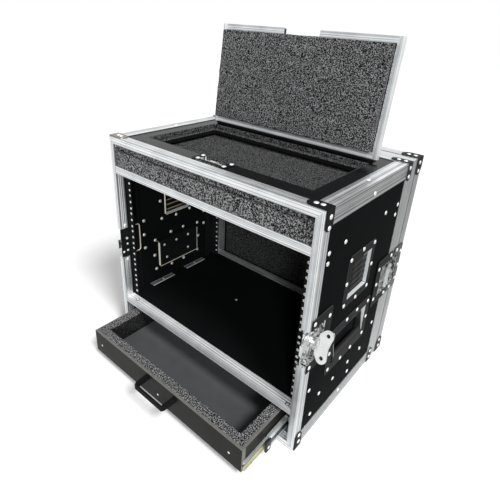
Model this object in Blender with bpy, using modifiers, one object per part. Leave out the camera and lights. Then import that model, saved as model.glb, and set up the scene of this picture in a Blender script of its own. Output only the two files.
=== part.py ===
"""Mixer rack case: a plywood flight case with a seven-unit rack bay, a mixer well under a
hinged hatch, a drawer on ball-bearing slides and a lift-off rear lid.

Metres, +X to the right, +Y to the back, +Z up. The origin is on the floor under the middle of
the whole case. It is modelled as photographed: hatch open, drawer part open, front latches open
and the rear lid closed. The builders below measure from the middle of the bottom panel's
underside, and the last step moves everything to the origin.
"""

import math

import bmesh
import bpy
from mathutils import Matrix, Vector

MM = 0.001

# Driving dimensions of the carcass
WIDTH = 520 * MM
HEIGHT = 498 * MM
DEPTH = 332 * MM
PLY = 9.5 * MM
LEG = 1.2 * MM
GAP = 0.3 * MM

# Edge extrusion round the front and rear openings
RIB_LEG = 3.2 * MM
NOSE = 6 * MM
OUTER_LEG = 22 * MM
INNER_LEG = 19 * MM
TONGUE_INSET = 2.4 * MM
TONGUE_STEP = 1.2 * MM
GROOVE = 0.9 * MM
GROOVE_WIDTH = 2.4 * MM
GROOVE_PITCH = 4.4 * MM
LINE = 0.4 * MM
EDGE_LINE = 10 * MM
ANGLE_LINES = (0.35, 0.65)

# Angles on the long side edges
ANGLE_TOP = 27 * MM
ANGLE_SIDE = 31 * MM

# Corner braces
BRACE_SHEET = 1.5 * MM
BRACE_WIDTH = 22 * MM
BRACE_SIDE = 37 * MM
BRACE_TOP = 39 * MM
BRACE_SETBACK = 3.5 * MM

# Shelf under the rack bay and floor of the mixer well
SHELF_NOSE_Z = 83.5 * MM
WELL_DROP = 78.7 * MM
CAP_LEG = 1.7 * MM
WELL_LIP = 3.4 * MM
CAP_NOSE = 2.5 * MM
CAP_UPPER = 21.5 * MM
CAP_LOWER = 13 * MM
CAP_GROOVE = 0.54 * MM
CAP_GROOVE_START = 4.2 * MM
CAP_GROOVE_PITCH = 5.3 * MM

# Rack rails
RACK_UNIT = 44.45 * MM
RACK_UNITS = 7
RACK_HOLES_IN_UNIT = (6.35 * MM, 22.225 * MM, 38.1 * MM)
RAIL_HOLE_INSET = 16.15 * MM
RACK_HOLE = 3.2 * MM
RACK_BASE_RISE = 8.1 * MM
RAIL_SHEET = 2 * MM
RAIL_FLANGE = 20.7 * MM
RAIL_SIDE = 30 * MM
RAIL_SETBACK = 22 * MM
RAIL_REAR_SETBACK = 28 * MM

# Top opening, hatch and hinge
OPENING_SIDE = 57 * MM
OPENING_FRONT = 57.5 * MM
OPENING_REAR = 74.5 * MM
HATCH_LAP = 10 * MM
HATCH_PLY = 6 * MM
HATCH_FLANGE = 12 * MM
HATCH_WEB = 1.5 * MM
HATCH_NOTCH = 86 * MM
HATCH_FOAM = 9.5 * MM
HATCH_OPEN = math.radians(97)
HINGE_BEHIND = 11.5 * MM
HINGE_RADIUS = 2.8 * MM
HINGE_LEAF = 18 * MM
HINGE_OVERHANG = 2 * MM
HINGE_KNUCKLES = 9
KNUCKLE_GAP = 0.5 * MM

# Foam in the mixer well
FOAM_SIDE_CLEARANCE = 3.7 * MM
FOAM_SETBACK = 1.5 * MM
FOAM_SLOT_DROP = 27 * MM
FOAM_SLOT = 5 * MM
FOAM_SLOT_END = 13 * MM
FOAM_RIM = 13 * MM
FOAM_REAR_CLEARANCE = 24 * MM

# Recessed dishes
SHEET = 1.2 * MM
DISH_CORNER = 6 * MM
VENT_CENTRE = (1 * MM, 316.5 * MM)
VENT_FLANGE = (104 * MM, 112 * MM)
VENT_OPENING = (75 * MM, 76 * MM)
VENT_DEPTH = 17 * MM
VENT_BLADES = 6
VENT_BLADE = 10.2 * MM
VENT_BLADE_RISE = 4.1 * MM
VENT_BLADE_TILT = math.radians(50)
HANDLE_CENTRE = (3 * MM, 173.5 * MM)
HANDLE_FLANGE = (164 * MM, 106 * MM)
HANDLE_OPENING = (128 * MM, 70 * MM)
HANDLE_DEPTH = 17 * MM
DISH_CUT_MARGIN = 2.5 * MM

# Handle bails
BAIL_PIVOT = (29 * MM, -8.5 * MM)
BAIL_GRIP = (-26 * MM, -3 * MM)
BAIL_GRIP_RADIUS = 7 * MM
BAIL_GRIP_LENGTH = 114 * MM
BAIL_ROD_RADIUS = 2.4 * MM
BAIL_ARM = 12 * MM
BAIL_ARM_ROOT = 8.4 * MM
BAIL_ARM_SHEET = 2 * MM

# Torsion springs on the bail rods
SPRING_RADIUS = 4.4 * MM
SPRING_WIRE = 0.9 * MM
SPRING_TURNS = 5
SPRING_PITCH = 2.6 * MM
SPRING_STEPS = 8
SPRING_TAIL = 22 * MM
SPRING_SINK = 0.36 * MM
SPRING_PLACES = (4 * MM, 42 * MM)

# Butterfly latches on the side panels
LATCH_Z = 243 * MM
LATCH_LENGTH = 112 * MM
LATCH_REACH = 75 * MM
LATCH_OPENING = 73 * MM
LATCH_OPENING_REACH = 52 * MM
LATCH_DEPTH = 11.2 * MM
LATCH_FRONT_SETBACK = 8 * MM
LATCH_REAR_SETBACK = 2 * MM
LATCH_HUB = 30 * MM
STRIKE_REACH = 53 * MM
STRIKE_SETBACK = 8 * MM
STRIKE_OPENING_REACH = 33 * MM
KEEPER_SETBACK = 13 * MM
KEEPER_HALF_WIDTH = 14 * MM
KEEPER_HEIGHT = 6 * MM
ROTOR_RADIUS = 10 * MM
SPINDLE_RADIUS = 5.5 * MM
BRIDGE_SHEET = 1.5 * MM
BRIDGE_HALF_WIDTH = 15 * MM
BRIDGE_LENGTH = 24 * MM
DRAWBAR_SHEET = 1.5 * MM
DRAWBAR_HALF_WIDTH = 11 * MM
DRAWBAR_TAIL = 37 * MM
DRAWBAR_HEAD = 6 * MM
DRAWBAR_LIP = 5 * MM
WING_SHEET = 2 * MM
WING_HINGE = 3 * MM
WING_HINGE_RADIUS = 1.7 * MM
WING_HINGE_HALF = 5.4 * MM
WING_LOBE = (20 * MM, 17.5 * MM)
WING_LOBE_RADIUS = 10 * MM
WING_HOLE_RADIUS = 3.8 * MM
WING_WAIST = 24.5 * MM
WING_DIP = 1 * MM
WING_SHOULDER = 9 * MM
WING_FLARE = 18 * MM
LUG_WIDTH = 1.8 * MM
WING_LEAN = math.radians(23)

# Small latch on the ledge in front of the hatch
LEDGE_LATCH_FLANGE = (84 * MM, 30 * MM)
LEDGE_LATCH_OPENING = (58 * MM, 22 * MM)
LEDGE_LATCH_SETBACK = 27 * MM
LEDGE_LATCH_DEPTH = 8 * MM
LEDGE_LATCH_HUB = 9.5 * MM
LEDGE_ROTOR_RADIUS = 4.5 * MM
LEDGE_ROTOR_HEIGHT = 3.5 * MM
LEDGE_WING = 11.5 * MM
LEDGE_WING_HALF_WIDTH = 3.2 * MM

# Drawer and slides
SLIDE_SPACE = 27.5 * MM
DRAWER_HEIGHT = 56 * MM
DRAWER_BASE_Z = 14.5 * MM
DRAWER_LENGTH = 290 * MM
DRAWER_FLOOR = 6 * MM
DRAWER_FOAM = 13 * MM
DRAWER_OPEN = 104 * MM
SLIDE_Z = 29.5 * MM
SLIDE_SHEET = 1.2 * MM
SLIDE_OUTER_HALF = 17.5 * MM
SLIDE_INNER_HALF = 10 * MM
SLIDE_THICKNESS = 12.7 * MM
SLIDE_LENGTH = 280 * MM
SLIDE_OUTER_SETBACK = 20 * MM
SLIDE_MIDDLE_SETBACK = 16 * MM
SLIDE_INNER_SETBACK = 2.5 * MM
SLIDE_LIP = 8 * MM
SLIDE_BALL_GAP = 4.8 * MM
SLIDE_INNER_DEPTH = 5 * MM
SLIDE_FOOT = 7 * MM
SLIDE_MIDDLE_LIP = 2.8 * MM
SLIDE_BRACKET_HALF = 10 * MM
BOW_WIDTH = 90 * MM
BOW_REACH = 31 * MM
BOW_HEIGHT = 12 * MM
BOW_BAR = 3.5 * MM
BOW_CORNER = 5 * MM
BOW_Z = 57 * MM
BOW_OFFSET = 6 * MM

# Rear lid
LID_DEPTH = 57 * MM
LID_LEG = 26 * MM
LID_FOAM = 20 * MM

ROUND = 16
SMALL_ROUND = 8
HOLE_SIDES = 6
CORNER_STEPS = 3

# Places that follow from the dimensions above
HALF_WIDTH = WIDTH / 2
PROUD = LEG + GAP
BASE = -PROUD
TOP = HEIGHT - PROUD
FRONT = -DEPTH / 2
REAR = DEPTH / 2
SIDE_OUT = HALF_WIDTH - PROUD
SIDE_IN = SIDE_OUT - PLY
FLOOR = PLY
CEILING_TOP = TOP - PROUD
CEILING = CEILING_TOP - PLY
SLOT_FAR = PROUD + PLY + GAP
FACE = SLOT_FAR + RIB_LEG
PANEL_FRONT = FRONT + NOSE + GAP
PANEL_REAR = REAR - NOSE - GAP
BETWEEN = SIDE_IN - GAP
DAYLIGHT_HALF = HALF_WIDTH - FACE
SHELF_BOTTOM = SHELF_NOSE_Z + CAP_LEG + GAP
SHELF_TOP = SHELF_BOTTOM + PLY
RACK_BASE_Z = SHELF_TOP + RACK_BASE_RISE
RACK_HOLE_X = BETWEEN - RAIL_HOLE_INSET
WELL_NOSE_Z = TOP - WELL_DROP
WELL_BOTTOM = WELL_NOSE_Z + CAP_LEG + GAP
WELL_TOP = WELL_BOTTOM + PLY
WELL_NOSE_TOP = WELL_TOP + GAP + WELL_LIP
OPENING_HALF = HALF_WIDTH - OPENING_SIDE
OPENING_Y0 = FRONT + OPENING_FRONT
OPENING_Y1 = REAR - OPENING_REAR
HINGE_Y = OPENING_Y1 + HINGE_BEHIND
HINGE_Z = CEILING_TOP + GAP + HINGE_RADIUS
HINGE_LENGTH = 2 * (OPENING_HALF + HINGE_OVERHANG)
HATCH_HALF = OPENING_HALF + HATCH_LAP
HATCH_EDGE = HINGE_RADIUS + GAP
HATCH_FAR = HINGE_Y - OPENING_Y0 + HATCH_LAP
FOAM_HALF = BETWEEN - FOAM_SIDE_CLEARANCE
FOAM_SLOT_HALF = FOAM_HALF - FOAM_SLOT_END
FOAM_SLOT_LOW = TOP - FOAM_SLOT_DROP
LATCH_CUT = LATCH_OPENING / 2 + SHEET + GAP
FLANGE_PLANE = HALF_WIDTH + GAP
REAR_BRACE_WIDTH = OUTER_LEG - TONGUE_STEP - GAP
LATCH_FLOOR = SHEET - LATCH_DEPTH
LATCH_GAP_X = FLANGE_PLANE - LATCH_DEPTH - GAP
DRAWBAR_LOW = LATCH_FLOOR + GAP
BRIDGE_LOW = DRAWBAR_LOW + DRAWBAR_SHEET + GAP
ROTOR_LOW = BRIDGE_LOW + BRIDGE_SHEET + GAP
ROTOR_TOP = WING_HINGE - WING_HINGE_RADIUS - GAP
LID_FACE = REAR + GAP
LID_BACK = REAR + LID_DEPTH
DRAWER_FRONT = FRONT - DRAWER_OPEN
DRAWER_HALF = SIDE_IN - SLIDE_SPACE
FOREMOST = DRAWER_FRONT - GAP - BOW_REACH
LOWEST = BASE - GAP - BRACE_SHEET
TO_ORIGIN = (0, -(FOREMOST + LID_BACK) / 2, -LOWEST)

MATERIALS = {
    "black_laminate": ((0.012, 0.013, 0.013), 0.22, 0.0),
    "aluminium": ((0.62, 0.64, 0.64), 0.38, 1.0),
    "black_steel": ((0.03, 0.032, 0.032), 0.4, 0.3),
    "zinc_steel": ((0.7, 0.71, 0.7), 0.3, 1.0),
    "foam": ((0.075, 0.075, 0.075), 0.95, 0.0),
    "black_grip": ((0.02, 0.02, 0.02), 0.55, 0.0),
    "drawer_ply": ((0.05, 0.048, 0.045), 0.5, 0.0),
}

PARTS = "mixer_rack_case"
CUTTERS = "cutters"


def clear_scene():
    """Remove every object, then make the two collections that the case uses."""
    for item in list(bpy.data.objects):
        bpy.data.objects.remove(item, do_unlink=True)
    for name in (PARTS, CUTTERS):
        if name not in bpy.data.collections:
            bpy.context.scene.collection.children.link(bpy.data.collections.new(name))


def get_material(name):
    """Principled material with the named colour, roughness and metallic value."""
    material = bpy.data.materials.get(name)
    if material is None:
        colour, roughness, metallic = MATERIALS[name]
        material = bpy.data.materials.new(name)
        material.use_nodes = True
        shader = material.node_tree.nodes["Principled BSDF"]
        shader.inputs["Base Color"].default_value = (*colour, 1)
        shader.inputs["Roughness"].default_value = roughness
        shader.inputs["Metallic"].default_value = metallic
    return material


def add_object(name, mesh):
    """Link a mesh as an object of the case."""
    item = bpy.data.objects.new(name, mesh)
    bpy.data.collections[PARTS].objects.link(item)
    return item


def mesh_object(name, mesh_builder):
    """Object from a closed bmesh, with its faces turned outwards."""
    bmesh.ops.recalc_face_normals(mesh_builder, faces=mesh_builder.faces)
    mesh = bpy.data.meshes.new(name)
    mesh_builder.to_mesh(mesh)
    mesh_builder.free()
    return add_object(name, mesh)


def finish(item, material, matrix=None):
    """Give a piece its material, its place and smooth shading on its round faces."""
    item.data.materials.clear()
    item.data.materials.append(get_material(material))
    item.data.shade_smooth()
    item.data.set_sharp_from_angle(angle=math.radians(30))
    if matrix is not None:
        item.matrix_world = matrix
    return item


def axes(origin, x_axis, y_axis):
    """Matrix whose local X and Y run along the two given directions."""
    x_axis = Vector(x_axis)
    y_axis = Vector(y_axis)
    matrix = Matrix((x_axis, y_axis, x_axis.cross(y_axis))).transposed().to_4x4()
    matrix.translation = Vector(origin)
    return matrix


def rectangle(x0, y0, x1, y1):
    """Four corners, anticlockwise."""
    return [(x0, y0), (x1, y0), (x1, y1), (x0, y1)]


def arc(x, y, radius, start, end, steps):
    """Points on an arc, angles in degrees."""
    angles = [math.radians(start + (end - start) * k / steps) for k in range(steps + 1)]
    return [(x + radius * math.cos(a), y + radius * math.sin(a)) for a in angles]


def rounded(x0, y0, x1, y1, radius, steps=CORNER_STEPS):
    """Rectangle with round corners."""
    points = arc(x1 - radius, y1 - radius, radius, 0, 90, steps)
    points += arc(x0 + radius, y1 - radius, radius, 90, 180, steps)
    points += arc(x0 + radius, y0 + radius, radius, 180, 270, steps)
    points += arc(x1 - radius, y0 + radius, radius, 270, 360, steps)
    return points


def circle(x, y, radius, sides):
    """Closed ring of points."""
    return arc(x, y, radius, 0, 360 * (sides - 1) / sides, sides - 1)


def plate(name, loops, thickness):
    """Flat piece from closed outlines in local XY, from z 0 up; inner outlines are holes."""
    curve = bpy.data.curves.new(name, "CURVE")
    curve.dimensions = "2D"
    curve.fill_mode = "BOTH"
    curve.extrude = thickness / 2
    for loop in loops:
        spline = curve.splines.new("POLY")
        spline.points.add(len(loop) - 1)
        for point, (x, y) in zip(spline.points, loop):
            point.co = (x, y, 0, 1)
        spline.use_cyclic_u = True
    return solid_from_curve(name, curve, Vector((0, 0, thickness / 2)))


def tube(name, points, radius, sides_step=2):
    """Wire or rod along a line of points, with closed ends."""
    curve = bpy.data.curves.new(name, "CURVE")
    curve.dimensions = "3D"
    curve.bevel_depth = radius
    curve.bevel_resolution = sides_step
    curve.use_fill_caps = True
    spline = curve.splines.new("POLY")
    spline.points.add(len(points) - 1)
    for point, place in zip(spline.points, points):
        point.co = (*place, 1)
    return solid_from_curve(name, curve, Vector((0, 0, 0)))


def solid_from_curve(name, curve, shift):
    """Mesh object from a curve, its caps welded to its sides."""
    item = bpy.data.objects.new(name, curve)
    bpy.context.scene.collection.objects.link(item)
    evaluated = item.evaluated_get(bpy.context.evaluated_depsgraph_get())
    mesh = bpy.data.meshes.new_from_object(evaluated)
    bpy.data.objects.remove(item)
    bpy.data.curves.remove(curve)
    builder = bmesh.new()
    builder.from_mesh(mesh)
    bpy.data.meshes.remove(mesh)
    bmesh.ops.remove_doubles(builder, verts=builder.verts, dist=0.01 * MM)
    bmesh.ops.translate(builder, verts=builder.verts, vec=shift)
    return mesh_object(name, builder)


def box(name, x0, x1, y0, y1, z0, z1):
    """Box between two corners."""
    builder = bmesh.new()
    centre = Matrix.Translation(((x0 + x1) / 2, (y0 + y1) / 2, (z0 + z1) / 2))
    size = Matrix.Diagonal((x1 - x0, y1 - y0, z1 - z0, 1))
    bmesh.ops.create_cube(builder, size=1, matrix=centre @ size)
    return mesh_object(name, builder)


def cylinder(name, x, y, z0, z1, radius, sides=ROUND):
    """Upright cylinder."""
    builder = bmesh.new()
    place = Matrix.Translation((x, y, (z0 + z1) / 2))
    bmesh.ops.create_cone(builder, cap_ends=True, segments=sides, radius1=radius,
                          radius2=radius, depth=z1 - z0, matrix=place)
    return mesh_object(name, builder)


def rod(name, x0, x1, y, z, radius, sides=SMALL_ROUND):
    """Cylinder along local X."""
    builder = bmesh.new()
    place = Matrix.Translation(((x0 + x1) / 2, y, z)) @ Matrix.Rotation(math.pi / 2, 4, "Y")
    bmesh.ops.create_cone(builder, cap_ends=True, segments=sides, radius1=radius,
                          radius2=radius, depth=x1 - x0, matrix=place)
    return mesh_object(name, builder)


def combine(item, tool, operation):
    """Boolean with a tool that stays, hidden, in the cutters collection."""
    for collection in list(tool.users_collection):
        collection.objects.unlink(tool)
    bpy.data.collections[CUTTERS].objects.link(tool)
    tool.name = f"{item.name}.tool"
    tool.hide_render = True
    tool.display_type = "WIRE"
    tool.parent = item
    modifier = item.modifiers.new(operation.lower(), "BOOLEAN")
    modifier.operation = operation
    modifier.solver = "EXACT"
    modifier.object = tool
    return item


def join(item, *tools):
    """Weld pieces that are one part."""
    for tool in tools:
        combine(item, tool, "UNION")
    return item


def cut(item, *tools):
    """Take the tools' shapes out of a piece."""
    for tool in tools:
        combine(item, tool, "DIFFERENCE")
    return item


def turn(item, matrix):
    """Move a piece's mesh, and the tools that shape it, within its own frame."""
    item.data.transform(matrix)
    for tool in item.children:
        turn(tool, matrix)
    return item


def v_groove(face, start, depth, direction=1):
    """Groove across a line at the given face, for an outline that runs along the second axis."""
    half = GROOVE_WIDTH / 2
    return [(face, start - half * direction), (face - depth, start),
            (face, start + half * direction)]


def edge_section():
    """Edge extrusion in section: first value inwards from the corner, second back from its face."""
    points = [(0, TONGUE_STEP), (TONGUE_INSET, TONGUE_STEP), (TONGUE_INSET, 0), (FACE, 0)]
    for k in range(3):
        points += v_groove(FACE, NOSE - GROOVE_WIDTH / 2 + k * GROOVE_PITCH, GROOVE)
    points += [(FACE, INNER_LEG), (SLOT_FAR, INNER_LEG), (SLOT_FAR, NOSE), (LEG, NOSE)]
    points += [(LEG, OUTER_LEG), (0, OUTER_LEG)]
    points += v_groove(0, EDGE_LINE, -LINE, direction=-1)
    return points


def swept_frame(name, section, stations, face_y, back):
    """Mitred frame: the section lofted through corner stations (x, z, inward x, inward z).

    A frame whose last station repeats its first is closed into a ring.
    """
    ring = stations[0] == stations[-1]
    builder = bmesh.new()
    loops = []
    for x, z, inward_x, inward_z in stations[:-1] if ring else stations:
        loops.append([builder.verts.new((x + inward_x * s, face_y + back * d, z + inward_z * s))
                      for s, d in section])
    pairs = list(zip(loops, loops[1:]))
    if ring:
        pairs.append((loops[-1], loops[0]))
    for near, far in pairs:
        for k in range(len(section)):
            after = (k + 1) % len(section)
            builder.faces.new((near[k], near[after], far[after], far[k]))
    if not ring:
        builder.faces.new(loops[0])
        builder.faces.new(loops[-1])
    return mesh_object(name, builder)


def ring_stations(half_width, low, high):
    """Four mitred corners, closed."""
    corners = [(-half_width, low, 1, 1), (-half_width, high, 1, -1),
               (half_width, high, -1, -1), (half_width, low, -1, 1)]
    return corners + corners[:1]


def side_panel_outline():
    """Side panel seen from the right, with the notches for the four side latches."""
    low = LATCH_Z - LATCH_CUT - GAP
    high = LATCH_Z + LATCH_CUT + GAP
    reach = LATCH_OPENING_REACH + SHEET + GAP
    return [(PANEL_FRONT, 0), (PANEL_REAR, 0), (PANEL_REAR, low), (REAR - reach, low),
            (REAR - reach, high), (PANEL_REAR, high), (PANEL_REAR, CEILING_TOP),
            (PANEL_FRONT, CEILING_TOP), (PANEL_FRONT, high), (FRONT + reach, high),
            (FRONT + reach, low), (PANEL_FRONT, low)]


def dish_cut_out(centre, opening):
    """Cut-out that a dish's tub hangs in."""
    half_x = opening[0] / 2 + SHEET + DISH_CUT_MARGIN
    half_y = opening[1] / 2 + SHEET + DISH_CUT_MARGIN
    return rounded(centre[0] - half_x, centre[1] - half_y, centre[0] + half_x,
                   centre[1] + half_y, DISH_CORNER)


def build_side_panels():
    """Left and right panels, full height, cut out for vents, handles and latches."""
    loops = [side_panel_outline(), dish_cut_out(VENT_CENTRE, VENT_OPENING),
             dish_cut_out(HANDLE_CENTRE, HANDLE_OPENING)]
    for name, x in (("left_panel", -SIDE_OUT), ("right_panel", SIDE_IN)):
        finish(plate(name, loops, PLY), "black_laminate", axes((x, 0, 0), (0, 1, 0), (0, 0, 1)))


def build_top_panel():
    """Top panel with the mixer opening and a notch for the ledge latch."""
    panel = rectangle(-BETWEEN, PANEL_FRONT, BETWEEN, PANEL_REAR)
    notch_half = LEDGE_LATCH_OPENING[0] / 2 + SHEET + GAP
    notch_front = FRONT + LEDGE_LATCH_SETBACK + LEDGE_LATCH_FLANGE[1] - LEDGE_LATCH_OPENING[1]
    notch_front -= SHEET + GAP
    opening = [(-OPENING_HALF, OPENING_Y0), (-notch_half, OPENING_Y0), (-notch_half, notch_front),
               (notch_half, notch_front), (notch_half, OPENING_Y0), (OPENING_HALF, OPENING_Y0),
               (OPENING_HALF, OPENING_Y1), (-OPENING_HALF, OPENING_Y1)]
    finish(plate("top_panel", [panel, opening], PLY), "black_laminate",
           Matrix.Translation((0, 0, CEILING)))


def notched_panel(name, bottom, material="black_laminate"):
    """Level panel between the sides, notched round the inner legs of the corner posts."""
    corner_x = DAYLIGHT_HALF - GAP
    corner_y = PANEL_FRONT - NOSE - GAP + INNER_LEG + GAP
    front = FRONT + CAP_NOSE + GAP
    rear = REAR - CAP_NOSE - GAP
    outline = [(-corner_x, front), (corner_x, front), (corner_x, corner_y), (BETWEEN, corner_y),
               (BETWEEN, -corner_y), (corner_x, -corner_y), (corner_x, rear),
               (-corner_x, rear), (-corner_x, -corner_y), (-BETWEEN, -corner_y),
               (-BETWEEN, corner_y), (-corner_x, corner_y)]
    return finish(plate(name, [outline], PLY), material, Matrix.Translation((0, 0, bottom)))


def build_level_panels():
    """Bottom panel, rack shelf and well floor."""
    outline = rectangle(-BETWEEN, PANEL_FRONT, BETWEEN, PANEL_REAR)
    finish(plate("bottom_panel", [outline], PLY), "black_laminate")
    notched_panel("shelf_panel", SHELF_BOTTOM)
    notched_panel("well_floor_panel", WELL_BOTTOM)


def build_well_foam():
    """Foam that fills the mixer well: a slotted block with a rim under the hatch."""
    front = FRONT + FOAM_SETBACK
    lip = FRONT + CAP_UPPER + GAP
    ledge = FRONT + INNER_LEG + GAP
    rear = REAR - FOAM_REAR_CLEARANCE
    top_low = TOP - FACE - GAP
    outline = [(front, WELL_NOSE_TOP + GAP), (lip, WELL_NOSE_TOP + GAP), (lip, WELL_TOP + GAP),
               (rear, WELL_TOP + GAP), (rear, CEILING - GAP), (ledge, CEILING - GAP),
               (ledge, top_low), (front, top_low)]
    foam = plate("well_foam", [outline], 2 * FOAM_HALF)
    turn(foam, axes((-FOAM_HALF, 0, 0), (0, 1, 0), (0, 0, 1)))
    slot_top = FOAM_SLOT_LOW + FOAM_SLOT
    slot = box("slot", -FOAM_SLOT_HALF, FOAM_SLOT_HALF, front - NOSE,
               OPENING_Y1 + FOAM_RIM, FOAM_SLOT_LOW, slot_top)
    half = OPENING_HALF - FOAM_RIM
    well = box("well", -half, half, OPENING_Y0 + FOAM_RIM, OPENING_Y1 - FOAM_RIM,
               slot_top - FOAM_SLOT / 2, TOP)
    finish(cut(foam, slot, well), "foam")


def build_front_frames():
    """Front edge extrusions, mitred at the corners and cut away for the side latches."""
    section = edge_section()
    for name, corner, inward, end in (("front_frame_upper", TOP, -1, LATCH_Z + LATCH_CUT),
                                      ("front_frame_lower", BASE, 1, LATCH_Z - LATCH_CUT)):
        stations = [(-HALF_WIDTH, end, 1, 0), (-HALF_WIDTH, corner, 1, inward),
                    (HALF_WIDTH, corner, -1, inward), (HALF_WIDTH, end, -1, 0)]
        finish(swept_frame(name, section, stations, FRONT, 1), "aluminium")


def cap_section(low, upper_thickness):
    """Channel that caps a level panel's edge: first value up, second back from its face."""
    panel_low = low + CAP_LEG + GAP
    panel_high = panel_low + PLY
    high = panel_high + GAP + upper_thickness
    points = [(low, 0), (low, CAP_LOWER), (low + CAP_LEG, CAP_LOWER)]
    points += [(low + CAP_LEG, CAP_NOSE), (panel_high + GAP, CAP_NOSE)]
    points += [(panel_high + GAP, CAP_UPPER), (high, CAP_UPPER)]
    for k in range(3):
        points += v_groove(high, CAP_UPPER - CAP_GROOVE_START - k * CAP_GROOVE_PITCH, CAP_GROOVE, -1)
    return points + [(high, 0)]


def cap_bar(name, low, upper_thickness, face_y, back, bar_half=DAYLIGHT_HALF - GAP):
    """Capping channel between the corner posts."""
    bar = plate(name, [cap_section(low, upper_thickness)], 2 * bar_half)
    return turn(bar, axes((back * bar_half, face_y, 0), (0, 0, 1), (0, back, 0)))


def build_cap_bars():
    """Capping channels on the front edges of the shelf and the well floor."""
    finish(cap_bar("shelf_edge", SHELF_NOSE_Z, CAP_LEG, FRONT, 1), "aluminium")
    finish(cap_bar("well_edge", WELL_NOSE_Z, WELL_LIP, FRONT, 1), "aluminium")


def angle_section():
    """Double angle for a side edge: first value inwards, second down, from the outer corner."""
    outline = [(0, 0)]
    for share in ANGLE_LINES:
        outline += [(s, d) for d, s in v_groove(0, ANGLE_TOP * share, -LINE)]
    outline += [(ANGLE_TOP, 0), (ANGLE_TOP, LEG), (LEG, LEG), (LEG, ANGLE_SIDE), (0, ANGLE_SIDE)]
    for share in reversed(ANGLE_LINES):
        outline += v_groove(0, ANGLE_SIDE * share, -LINE, direction=-1)
    return outline


def build_side_edges():
    """Angles along the four long side edges, between the front and rear frames."""
    start = FRONT + OUTER_LEG + GAP
    length = DEPTH - 2 * (OUTER_LEG + GAP)
    for level, up in (("bottom", -1), ("top", 1)):
        for side, direction in (("left", -1), ("right", 1)):
            bar = plate(f"side_edge_{level}_{side}", [angle_section()], length)
            upright = axes((0, length, 0), (1, 0, 0), (0, 0, 1))
            finish(turn(bar, upright), "aluminium",
                   corner_axes(direction, up, start, length))


def build_rear_frame():
    """Rear edge extrusion ring with its shelf rung and four corner braces."""
    frame = swept_frame("rear_frame", edge_section(), ring_stations(HALF_WIDTH, BASE, TOP),
                        REAR, -1)
    reach = OUTER_LEG + NOSE
    for direction in (-1, 1):
        inner = direction * LATCH_GAP_X
        outer = direction * (HALF_WIDTH + NOSE)
        cut(frame, box("latch_gap", min(inner, outer), max(inner, outer), REAR - reach,
                       REAR + NOSE, LATCH_Z - LATCH_CUT, LATCH_Z + LATCH_CUT))
    join(frame, cap_bar("rung", SHELF_NOSE_Z, CAP_LEG, REAR, -1, DAYLIGHT_HALF + LINE))
    for direction in (-1, 1):
        for level in (-1, 1):
            brace = brace_mesh("brace", BRACE_SIDE, BRACE_TOP, REAR_BRACE_WIDTH, embed=LINE)
            place = corner_axes(direction, level, REAR - OUTER_LEG, REAR_BRACE_WIDTH)
            join(frame, turn(brace, place))
    finish(frame, "aluminium")


def brace_mesh(name, side_length, top_length, width, embed=0.0):
    """Two-legged corner brace. Local X runs inwards, Z down, Y along the case's depth."""
    half = width / 2
    legs = []
    for length in (top_length, side_length):
        outline = [(-BRACE_SHEET, 0), (length - half, 0)]
        outline += arc(length - half, half, half, -60, 60, 4)
        outline += [(length - half, width), (-BRACE_SHEET, width)]
        legs.append(plate(name, [outline], BRACE_SHEET + embed))
    turn(legs[0], axes((0, 0, -BRACE_SHEET), (1, 0, 0), (0, 1, 0)))
    turn(legs[1], axes((embed, 0, 0), (0, 0, 1), (0, 1, 0)))
    return join(legs[0], legs[1])


def corner_axes(direction, level, start_y, length, clear=0.0):
    """Frame of an outer corner: local X runs inwards, Z towards the middle height.

    Local Y runs back or forward, whichever keeps the frame right-handed; length is what the
    piece measures along it.
    """
    z = TOP + clear if level > 0 else BASE - clear
    back = direction * level
    origin = (direction * (HALF_WIDTH + clear), start_y if back > 0 else start_y + length, z)
    return axes(origin, (-direction, 0, 0), (0, back, 0))


def build_front_braces():
    """Steel corner braces at the front corners."""
    for level, up in (("bottom", -1), ("top", 1)):
        for side, direction in (("left", -1), ("right", 1)):
            brace = brace_mesh(f"corner_brace_{level}_{side}", BRACE_SIDE, BRACE_TOP, BRACE_WIDTH)
            place = corner_axes(direction, up, FRONT + BRACE_SETBACK, BRACE_WIDTH, clear=GAP)
            finish(brace, "black_steel", place)


def build_rack_rails():
    """Four rack rails: a drilled flange, and a leg along the side panel."""
    low = SHELF_TOP + GAP
    high = WELL_BOTTOM - GAP
    section = [(0, 0), (RAIL_FLANGE, 0), (RAIL_FLANGE, RAIL_SHEET), (RAIL_SHEET, RAIL_SHEET),
               (RAIL_SHEET, RAIL_SIDE), (0, RAIL_SIDE)]
    for end, face_y, back in (("front", FRONT + RAIL_SETBACK, 1),
                              ("rear", REAR - RAIL_REAR_SETBACK, -1)):
        for side, direction in (("left", -1), ("right", 1)):
            rail = plate(f"rack_rail_{end}_{side}", [section], high - low)
            start = high if direction == back else low
            turn(rail, axes((direction * BETWEEN, face_y, start), (-direction, 0, 0), (0, back, 0)))
            holes = [circle(direction * RACK_HOLE_X, RACK_BASE_Z + unit * RACK_UNIT + hole,
                            RACK_HOLE, HOLE_SIDES)
                     for unit in range(RACK_UNITS) for hole in RACK_HOLES_IN_UNIT]
            length = 3 * RAIL_SHEET
            punch = plate("punch", holes, length)
            middle = face_y + back * RAIL_SHEET / 2
            turn(punch, axes((0, middle + length / 2, 0), (1, 0, 0), (0, 0, 1)))
            finish(cut(rail, punch), "black_steel")


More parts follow.
